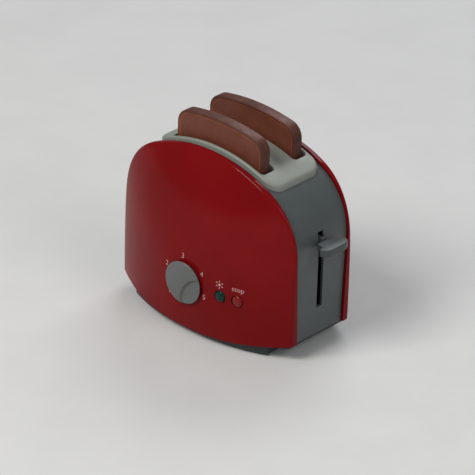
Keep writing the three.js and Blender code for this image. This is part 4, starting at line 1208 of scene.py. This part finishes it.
def rays():
    """Points and faces of a sign with a small star in the middle and a dash beyond each of its tips."""
    star = []
    dashes = []
    valley = RAY_WIDTH / 2 / math.sin(math.pi / RAY_COUNT)
    for ray in range(RAY_COUNT):
        turn = math.pi * (0.5 + 2 * ray / RAY_COUNT)
        between = turn + math.pi / RAY_COUNT
        across = Vector((-math.sin(turn), math.cos(turn))) * RAY_WIDTH / 2
        along = Vector((math.cos(turn), math.sin(turn)))
        star += [along * STAR_REACH - across, along * STAR_REACH + across]
        star.append(Vector((math.cos(between), math.sin(between))) * valley)
        dashes += [along * DASH_END - across, along * DASH_END + across]
        dashes += [along * DASH_START + across, along * DASH_START - across]
    faces = [list(range(len(star)))]
    for dash in in_rows(len(dashes), len(dashes) // RAY_COUNT):
        faces.append([len(star) + corner for corner in dash])
    return star + dashes, faces


# Stage

def make_floor(materials):
    tips = ((-1, -1), (1, -1), (1, 1), (-1, 1))
    points = [(x * FLOOR_HALF, y * FLOOR_HALF, -FOOT_HEIGHT) for x, y in tips]
    plane = new_object("floor", points, [[0, 1, 2, 3]], materials["floor"])


def make_lamp(name, place, size, power, colour):
    lamp = bpy.data.lights.new(name, "AREA")
    lamp.shape = "RECTANGLE"
    lamp.size, lamp.size_y = size
    lamp.energy = power
    lamp.color = colour
    holder = bpy.data.objects.new(name, lamp)
    holder.location = place
    holder.rotation_euler = (LAMP_AIM - Vector(place)).to_track_quat("-Z", "Y").to_euler()
    bpy.context.scene.collection.objects.link(holder)


def make_lights():
    world = bpy.data.worlds.new("room")
    world.use_nodes = True
    background = world.node_tree.nodes["Background"]
    background.inputs["Color"].default_value = ROOM_COLOUR
    background.inputs["Strength"].default_value = ROOM_STRENGTH
    bpy.context.scene.world = world
    for name, values in LAMPS.items():
        make_lamp(name, *values)


# Looks of the pieces that stay as the solid model has them

KEPT_LOOKS = {
    "inner": (
        "front_chute_wall", "front_divider_wall", "rear_divider_wall", "rear_chute_wall",
        "carriage", "latch_lever", "button_bracket"),
    "steel": (
        "guide_rod", "latch_pin", "dial_shaft", "second_arbor", "governor_arbor",
        "timer_front_plate", "timer_rear_plate", "timer_pillar_1", "timer_pillar_2",
        "timer_pillar_3", "timer_pillar_4", "mainspring"),
    "brass": ("great_wheel", "second_wheel", "governor_wheel"),
}


def dress_kept(materials):
    for look, names in KEPT_LOOKS.items():
        for name in names:
            node = frame["nodes"][name]
            for place in range(len(node.data.materials)):
                node.data.materials[place] = materials[look]


def main():
    materials = make_materials()
    dress_kept(materials)
    make_camera()
    make_shells(materials)
    make_housing(materials)
    make_collar(materials)
    make_toasts(materials)
    make_knob(materials)
    make_button("green_button", GREEN_X, "green", materials)
    make_button("red_button", RED_X, "red", materials)
    make_lever(materials)
    make_base(materials)
    make_feet(materials)
    make_screws(materials)
    make_springs(materials)
    make_print(materials)
    make_floor(materials)
    make_lights()
    bpy.context.scene.view_settings.view_transform = "Standard"


main()
